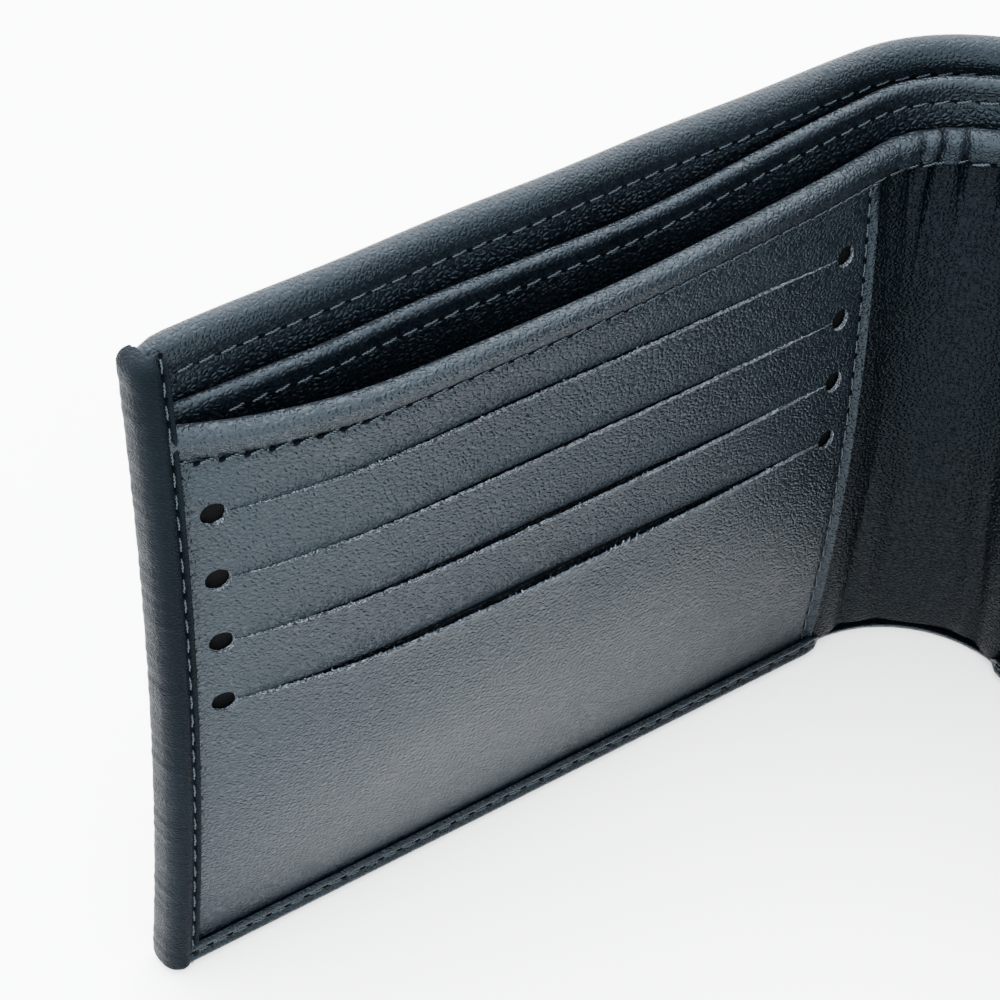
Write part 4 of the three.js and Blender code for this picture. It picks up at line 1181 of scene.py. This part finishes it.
def leaf_seams(side):
    """Threads of one leaf: those that run on round the spine, and those that stay on the leaf."""
    def spot(s, v, z):
        return place(side, s, v, z)

    along = np.linspace(-HALF_SPINE + 0.2, TURN_START - 0.6, 400)
    hem_depth = HEM_MIDDLE + HEM_THICK / 2 + pocket_lean(along, HEM_STITCH) - 0.22
    hem_depth = hem_depth - pleats(side, along, np.full_like(along, HEM_STITCH)) * ease(3, -1, along)
    hem_depth = hem_depth + pocket_sway(along, POCKET_TOP)
    stitch_z = DIVIDER_TOP - DIVIDER_HEM + 0.8
    divider_z = stitch_z + divider_rise(along)
    divider_depth = DIVIDER_MIDDLE + 0.55 + divider_lean(along, divider_z)
    divider_depth = divider_depth + divider_sway(along, divider_z) - 0.05
    top_z = TOP_HEM_END + 0.9
    top_depth = TOP_HEM_MIDDLE + 0.2 + shell_lean(along, top_z) + shell_sway(along, top_z)
    clear = along < TURN_START - 8
    crossing = [
        seam(spot, along, hem_depth, HEM_STITCH + 0.15),
        seam(spot, along[clear], divider_depth[clear], divider_z[clear]),
        seam(spot, along, top_depth - 0.1, top_z),
    ]
    up = np.linspace(BOTTOM_TURN + 0.4, HEM_STITCH - 0.5, 200)
    seam_depth = PANEL_FRONT + pocket_lean(np.full_like(up, SEAM_STITCH), up) - 0.3
    foot = np.linspace(SEAM_INSET + 0.6, TURN_START - 0.4, 200)
    tall = np.linspace(1.4, LEAF_HEIGHT - 1.2, 300)
    riding = [
        seam(spot, SEAM_STITCH, seam_depth, up),
        seam(spot, foot, TURN_MIDDLE + 0.1, BOTTOM_STITCH),
        seam(spot, SIDE_STITCH, -0.3, tall),
    ]
    across = stitch(f"{side}_crossing_thread", crossing, slant=0.12, seed=3)
    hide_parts(f"{side}_pocket_thread", f"{side}_divider_thread", f"{side}_top_thread")
    held = stitch(f"{side}_leaf_thread", riding, seed=7)
    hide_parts(f"{side}_seam_thread", f"{side}_bottom_thread", f"{side}_side_thread")
    return across, held


# ---------------------------------------------------------------- loose fibres
def hair(start, end, sag, radius):
    """A thin bent fibre between two points in millimetres; returns (points, faces)."""
    start, end, sag = (np.array(a, float) for a in (start, end, sag))
    bends, around = 4, 4
    t = np.linspace(0, 1, bends)[:, None]
    path = start * (1 - t) + end * t + sag * 4 * t * (1 - t)
    along = np.gradient(path, axis=0)
    along /= np.linalg.norm(along, axis=1)[:, None]
    first = np.cross(along, (0.3, 0.5, 0.81))
    first /= np.linalg.norm(first, axis=1)[:, None]
    second = np.cross(along, first)
    rings = []
    for k in range(around):
        a = math.pi / 2 * k
        rings.append(path + radius * (first * math.cos(a) + second * math.sin(a)))
    return np.stack(rings, 1).reshape(-1, 3), ring_faces(bends, around)


SLIT_FIBRES = (70, 70, 170, 230)


def loose_fibres(side):
    """Short fibres standing out of the slits, most of the lowest, and a thread end at the top corner."""
    random = np.random.default_rng(4)
    points, faces = [], []

    def add(start, end, sag, radius):
        strand, parts = hair(start, end, sag, radius)
        offset = sum(len(p) for p in points)
        placed = place(side, strand[:, 0], strand[:, 1], strand[:, 2])
        points.append(placed)
        faces.extend(tuple(a + offset for a in f) for f in flip_inward(placed, parts))

    for k, height in enumerate(SLIT_HEIGHTS):
        for s in random.uniform(SLIT_INNER + 3, SLIT_OUTER - 3, SLIT_FIBRES[k]):
            open_here = float(slit_window(s))
            lift = float(pocket_lean(s, height)) + SLIT_LIFT[k] * open_here
            depth = PANEL_FRONT + lift - random.uniform(0.05, PANEL_THICK)
            z = height + float(slit_bow(s, height)) - 0.5 * SLIT_GAPE[k] * open_here
            tall = random.uniform(0.1, 0.34)
            tip = (s + random.uniform(-0.3, 0.3), depth + random.uniform(-0.15, 0.1), z + tall)
            add((s, depth, z - 0.08), tip, (0.05, 0.05, 0), random.uniform(0.03, 0.055))
    for s in random.uniform(37, 45, 7):
        depth = PANEL_FRONT + float(pocket_lean(s, SLIT_HEIGHTS[3])) + 0.25
        z = SLIT_HEIGHTS[3] + float(slit_bow(s, SLIT_HEIGHTS[3])) - 0.5 * SLIT_GAPE[3]
        tip = (s + random.uniform(-0.2, 0.2), depth + 0.1, z + random.uniform(0.6, 1.2))
        add((s, depth - 0.2, z - 0.1), tip, (0.1, 0.1, 0), 0.06)
    top = 91.0
    add((101.2, -2.6, top - 0.9), (100.4, -1.2, top - 4.6), (0.5, 0.3, 0), 0.09)
    add((100.9, -2.4, top - 2.2), (101.3, -0.9, top - 5.2), (-0.4, 0.4, 0), 0.07)
    piece = make_piece(f"{side}_loose_fibres", np.concatenate(points), faces, [FIBRE])
    return piece


# ---------------------------------------------------------------- card flap on its narrow spine
FLAP_START = FLAP_SPINE + 2.6
FLAP_END = FLAP_SPINE + FLAP_WIDTH
FLAP_TURN = FLAP_END - SIDE_TURN
TAB_START = -11.2
STRIP_MIDDLE = FLAP_SPINE / 2
FLAP_SHELL_START = FLAP_SPINE + 3.0
FLAP_SEAM = 2.4
WINDOW_SEAM = 1.9


def flap_angle(u):
    """The way the flap faces: it turns at both creases of the narrow spine."""
    return FLAP_BEND * (ease(-1.8, 1.8, u) + ease(FLAP_SPINE - 1.8, FLAP_SPINE + 1.8, u))


# the flap's line seen from above, added up in small steps
PLAN = np.linspace(-14, FLAP_END + 4, 1201)
PLAN_STEP = PLAN[1] - PLAN[0]
PLAN_X = np.cumsum(-np.sin(flap_angle(PLAN))) * PLAN_STEP + SPINE_X + SPINE_RADIUS - FLAP_DEPTH
PLAN_Y = np.cumsum(-np.cos(flap_angle(PLAN))) * PLAN_STEP + SPINE_Y - LEAF_WIDTH - FLAP_STANDOFF - PLAN[0]


def flap_place(u, w, z):
    """Points in metres: u runs from the first crease to the flap's free edge, w towards the cards."""
    u, w, z = np.broadcast_arrays(np.asarray(u, float), w, z)
    sunk = hollow(z) * ease(0, FLAP_STANDOFF, -u)
    x = np.interp(u, PLAN, PLAN_X) - np.cos(flap_angle(u)) * w - sunk
    y = np.interp(u, PLAN, PLAN_Y) + np.sin(flap_angle(u)) * w
    return np.stack([x, y, z], -1) * MM


def flap_sheet(name, stations, outline, material, replaced, wear_and_highlight=None, bend=None):
    """Sweeps an outline of (w, z) points along the flap; bend(u, w, z) gives the moved (u, w, z)."""
    u, w, z = grid(stations, outline)
    worn_and_lit = None if wear_and_highlight is None else wear_and_highlight(u, w, z)
    if bend is not None:
        u, w, z = bend(u, w, z)
    piece = make_piece(name, flap_place(u, w, z), ring_faces(len(stations), len(outline)), [material], worn_and_lit)
    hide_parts(*replaced)
    return piece


def upright(w, thick, foot, top, rows=30):
    """Outline of a flat sheet of the flap, at depth w."""
    return ribbon(line((w, foot), (w, top), rows), thick)


def flap_hinge_leather():
    """Outer leather from the tab on the second leaf, over both creases, to the flap, in two pieces."""
    outline = upright(0, SHELL_THICK, FLAP_FOOT + 0.3, FLAP_TOP - 0.3, 40)

    def wear_and_highlight(u, w, z):
        edge = bands(z, FLAP_TOP, 0.7) + bands(z, FLAP_FOOT, 0.7)
        return np.clip(0.5 * edge + 0.2 * bands(u, 0, 1.2) + 0.2 * bands(u, FLAP_SPINE, 1.2), 0, 1)

    def puckered(u, w, z):
        crumple = bands(u, 0, 2.2) + bands(u, FLAP_SPINE, 2.2)
        return u, w + 0.1 * np.sin(z * 0.9) * np.sin(z * 0.37 + 1) * crumple, z

    near = flap_sheet(
        "flap_hinge_near", np.arange(TAB_START, STRIP_MIDDLE + 0.01, 0.35), outline, SHELL_LEATHER,
        ["flap_hinge_tab"], wear_and_highlight, puckered)
    far = flap_sheet(
        "flap_hinge_far", np.linspace(STRIP_MIDDLE, FLAP_SHELL_START, 36), outline, SHELL_LEATHER,
        ["flap_spine_strip"], wear_and_highlight, puckered)
    return near, far


def flap_shell():
    """Outer leather of the flap, turned over to the front along its top and foot."""
    hem = 2.75
    r = hem / 2
    path = joined(
        line((hem, FLAP_TOP - SIDE_TURN), (hem, FLAP_TOP - 0.3 - r), 5),
        arc((r, FLAP_TOP - 0.3 - r), r, 0, 180, 10),
        line((0, FLAP_TOP - 0.3 - r), (0, FLAP_FOOT + 0.3 + r), 24),
        arc((r, FLAP_FOOT + 0.3 + r), r, 180, 360, 10),
        line((hem, FLAP_FOOT + 0.3 + r), (hem, FLAP_FOOT + SIDE_TURN), 5))
    last = len(path) - 1  # the turned borders are pared thinner
    thick = np.interp(
        np.arange(len(path)), [0, 6, 16, last - 16, last - 6, last], [0.5, 0.6, 0.9, 0.9, 0.6, 0.5])

    def bend(u, w, z):
        near_end = ease(FLAP_TURN - 1, FLAP_TURN + 1.2, u)
        middle = (FLAP_TOP + FLAP_FOOT) / 2
        z = middle + (z - middle) * (1 - 0.02 * near_end)
        sewn = bands(z, FLAP_TOP - FLAP_SEAM, 0.4) + bands(z, FLAP_FOOT + FLAP_SEAM, 0.4)
        groove = 0.25 * sewn * (w > 1.8)
        return u, w - groove - 0.5 * near_end * (w > 1.4), z

    def wear_and_highlight(u, w, z):
        return 0.6 * bands(z, FLAP_TOP, 0.9) + 0.5 * bands(z, FLAP_FOOT, 0.9)

    return flap_sheet(
        "flap_shell", np.arange(FLAP_SHELL_START, FLAP_TURN + 1.3, LEAF_STEP), ribbon(path, thick),
        SHELL_LEATHER, ["flap_shell", "flap_top_turned_edge", "flap_bottom_turned_edge"],
        wear_and_highlight, bend)


def window_outline():
    """Rounded window with a half-round thumb notch at its foot, as points round (0, 0)."""
    a, b, q = WINDOW_WIDTH / 2, WINDOW_HEIGHT / 2, WINDOW_RADIUS
    corners = [
        arc((a - q, b - q), q, 0, 90, 8), line((a - q, b), (-a + q, b), 30),
        arc((-a + q, b - q), q, 90, 180, 8), line((-a, b - q), (-a, -b + q), 26),
        arc((-a + q, -b + q), q, 180, 270, 8), line((-a + q, -b), (-THUMB_RADIUS, -b), 10),
        arc((0, -b), THUMB_RADIUS, 180, 360, 24), line((THUMB_RADIUS, -b), (a - q, -b), 10),
        arc((a - q, -b + q), q, 270, 360, 8), line((a, -b + q), (a, b - q), 26)]
    return joined(*corners)[:-1]


FRAME_FOOT = FLAP_FOOT + 1.1
FRAME_HEAD = FLAP_TOP - 1.1
FRAME_END = FLAP_END - 1.1
WINDOW_U = (FLAP_START + FRAME_END) / 2
WINDOW_Z = (FRAME_FOOT + FRAME_HEAD) / 2


def window_frame():
    """Leather frame with a beaded, stitched edge round its window."""
    inner = window_outline()
    half = np.array([(FRAME_END - FLAP_START) / 2, (FRAME_HEAD - FRAME_FOOT) / 2])
    outer = inner * np.min(half / np.maximum(np.abs(inner), 1e-6), axis=1)[:, None]
    reach = np.linalg.norm(outer - inner, axis=1)
    rings = []
    back, front = 1.65, 2.25
    for d in (0.0, 0.12, 0.4, 0.8, 1.2, 1.5, 1.8, 2.1, 2.5, 3.2, 5.0, 1e3):
        f = np.minimum(d / reach, 1.0)[:, None]
        flat = inner * (1 - f) + outer * f
        relief = 0.14 * math.exp(-((d - 0.8) / 0.6) ** 2) - 0.28 * math.exp(-((d - WINDOW_SEAM) / 0.4) ** 2)
        relief -= 0.2 if d == 0 else 0.0
        rings.append((flat, front + relief))
    rings += [(outer, back), (inner, back)]
    n = len(inner)
    points = np.concatenate([flap_place(WINDOW_U + f[:, 0], w, WINDOW_Z + f[:, 1]) for f, w in rings])
    faces = []
    for i in range(len(rings)):
        j = (i + 1) % len(rings)
        for a in range(n):
            b = (a + 1) % n
            faces.append((i * n + a, i * n + b, j * n + b, j * n + a))
    piece = make_piece("flap_window_frame", points, faces, [PANEL_LEATHER], sharp=55)
    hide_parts("flap_window_frame")
    return piece


def flap_pieces():
    """All pieces of the flap and its narrow spine; all but the two hinge pieces are attached to the body that
    they follow.
    """
    near, far = flap_hinge_leather()
    tuple(flap_place(-2.6, 0, 46))
    tuple(flap_place(2.6, 0, 46))
    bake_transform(near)
    tuple(flap_place(FLAP_SPINE - 2.6, 0, 46))
    tuple(flap_place(FLAP_SPINE + 2.6, 0, 46))
    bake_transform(far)
    lining = flap_sheet(
        "flap_spine_lining", np.linspace(3.4, FLAP_SPINE - 3.2, 24),
        upright(0.8, LINING_THICK, FLAP_FOOT + 1, FLAP_TOP - 1), PEBBLED,
        ["flap_spine_lining"])
    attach(lining, "flap_spine")
    backing = flap_sheet(
        "flap_backing", np.linspace(FLAP_START, FRAME_END, 40),
        upright(0.8, LINING_THICK, FRAME_FOOT, FRAME_HEAD), SLEEVE_FABRIC, ["flap_backing"])
    half_wide, half_high = WINDOW_WIDTH / 2 + 5, WINDOW_HEIGHT / 2 + 5
    clear = flap_sheet(
        "flap_clear_window", np.linspace(WINDOW_U - half_wide, WINDOW_U + half_wide, 30),
        upright(1.3, 0.3, WINDOW_Z - half_high, WINDOW_Z + half_high), CLEAR_VINYL,
        ["flap_clear_window"])
    side = edge_bar(
        "flap_side_edge", flap_place, FLAP_TURN, FLAP_END, -0.45, 3.25, FLAP_FOOT, FLAP_TOP, 2.4)
    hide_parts("flap_side_turned_edge")
    tall = np.linspace(FLAP_FOOT + 2, FLAP_TOP - 2, 300)
    wide = np.linspace(FLAP_SHELL_START + 1, FLAP_TURN - 0.5, 300)
    spot = window_outline()
    ring = np.concatenate([spot, spot[:1]])
    away = ring / np.linalg.norm(ring, axis=1)[:, None]
    ring = ring + WINDOW_SEAM * away
    seams = [
        seam(flap_place, FLAP_TURN + 0.8, 2.95, tall),
        seam(flap_place, wide, 2.9, FLAP_TOP - FLAP_SEAM),
        seam(flap_place, wide, 2.9, FLAP_FOOT + FLAP_SEAM),
        seam(flap_place, WINDOW_U + ring[:, 0], 2.05, WINDOW_Z + ring[:, 1]),
    ]
    thread = stitch("flap_thread", seams, seed=11)
    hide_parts("flap_side_thread", "flap_top_thread", "flap_bottom_thread")
    for piece in (flap_shell(), backing, window_frame(), clear, side, thread):
        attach(piece, "flap")
    tab_z = np.linspace(FLAP_FOOT + 2, FLAP_TOP - 2, 200)
    tab_u = FLAP_STANDOFF + 5.5
    tab_seam = seam(lambda u, w, z: flap_place(u, -w, z), -tab_u, 0.42, tab_z)
    hinge_thread = stitch("flap_hinge_thread", [tab_seam], seed=5)
    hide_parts("flap_hinge_thread")
    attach(hinge_thread, "centre_leaf")


# ---------------------------------------------------------------- both halves
for side in ("left", "centre"):
    leaf = f"{side}_leaf"
    on_leaf = place(side, 8.0, -2.0, 46.0)
    on_spine = place(side, -9.0, -2.0, 46.0)
    sheets = [shell(side), shell_lining(side), divider(side), pocket_wall(side)]
    crossing_thread, leaf_thread = leaf_seams(side)
    for piece in sheets + [crossing_thread]:
        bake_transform(piece)
    for piece in (card_panel(side), card_sleeves(side), side_edge(side), leaf_thread):
        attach(piece, leaf)
    if side == "left":
        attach(loose_fibres(side), leaf)
        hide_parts("spine_shell", "spine_top_turned_edge")
        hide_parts("spine_shell_lining")
        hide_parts("spine_divider")
        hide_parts("spine_gathered_lining")
        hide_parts("spine_pocket_thread", "spine_divider_thread", "spine_top_thread")

flap_pieces()
for shape in (STITCH_SHAPE, HOLE_SHAPE):
    bpy.data.objects.remove(shape)
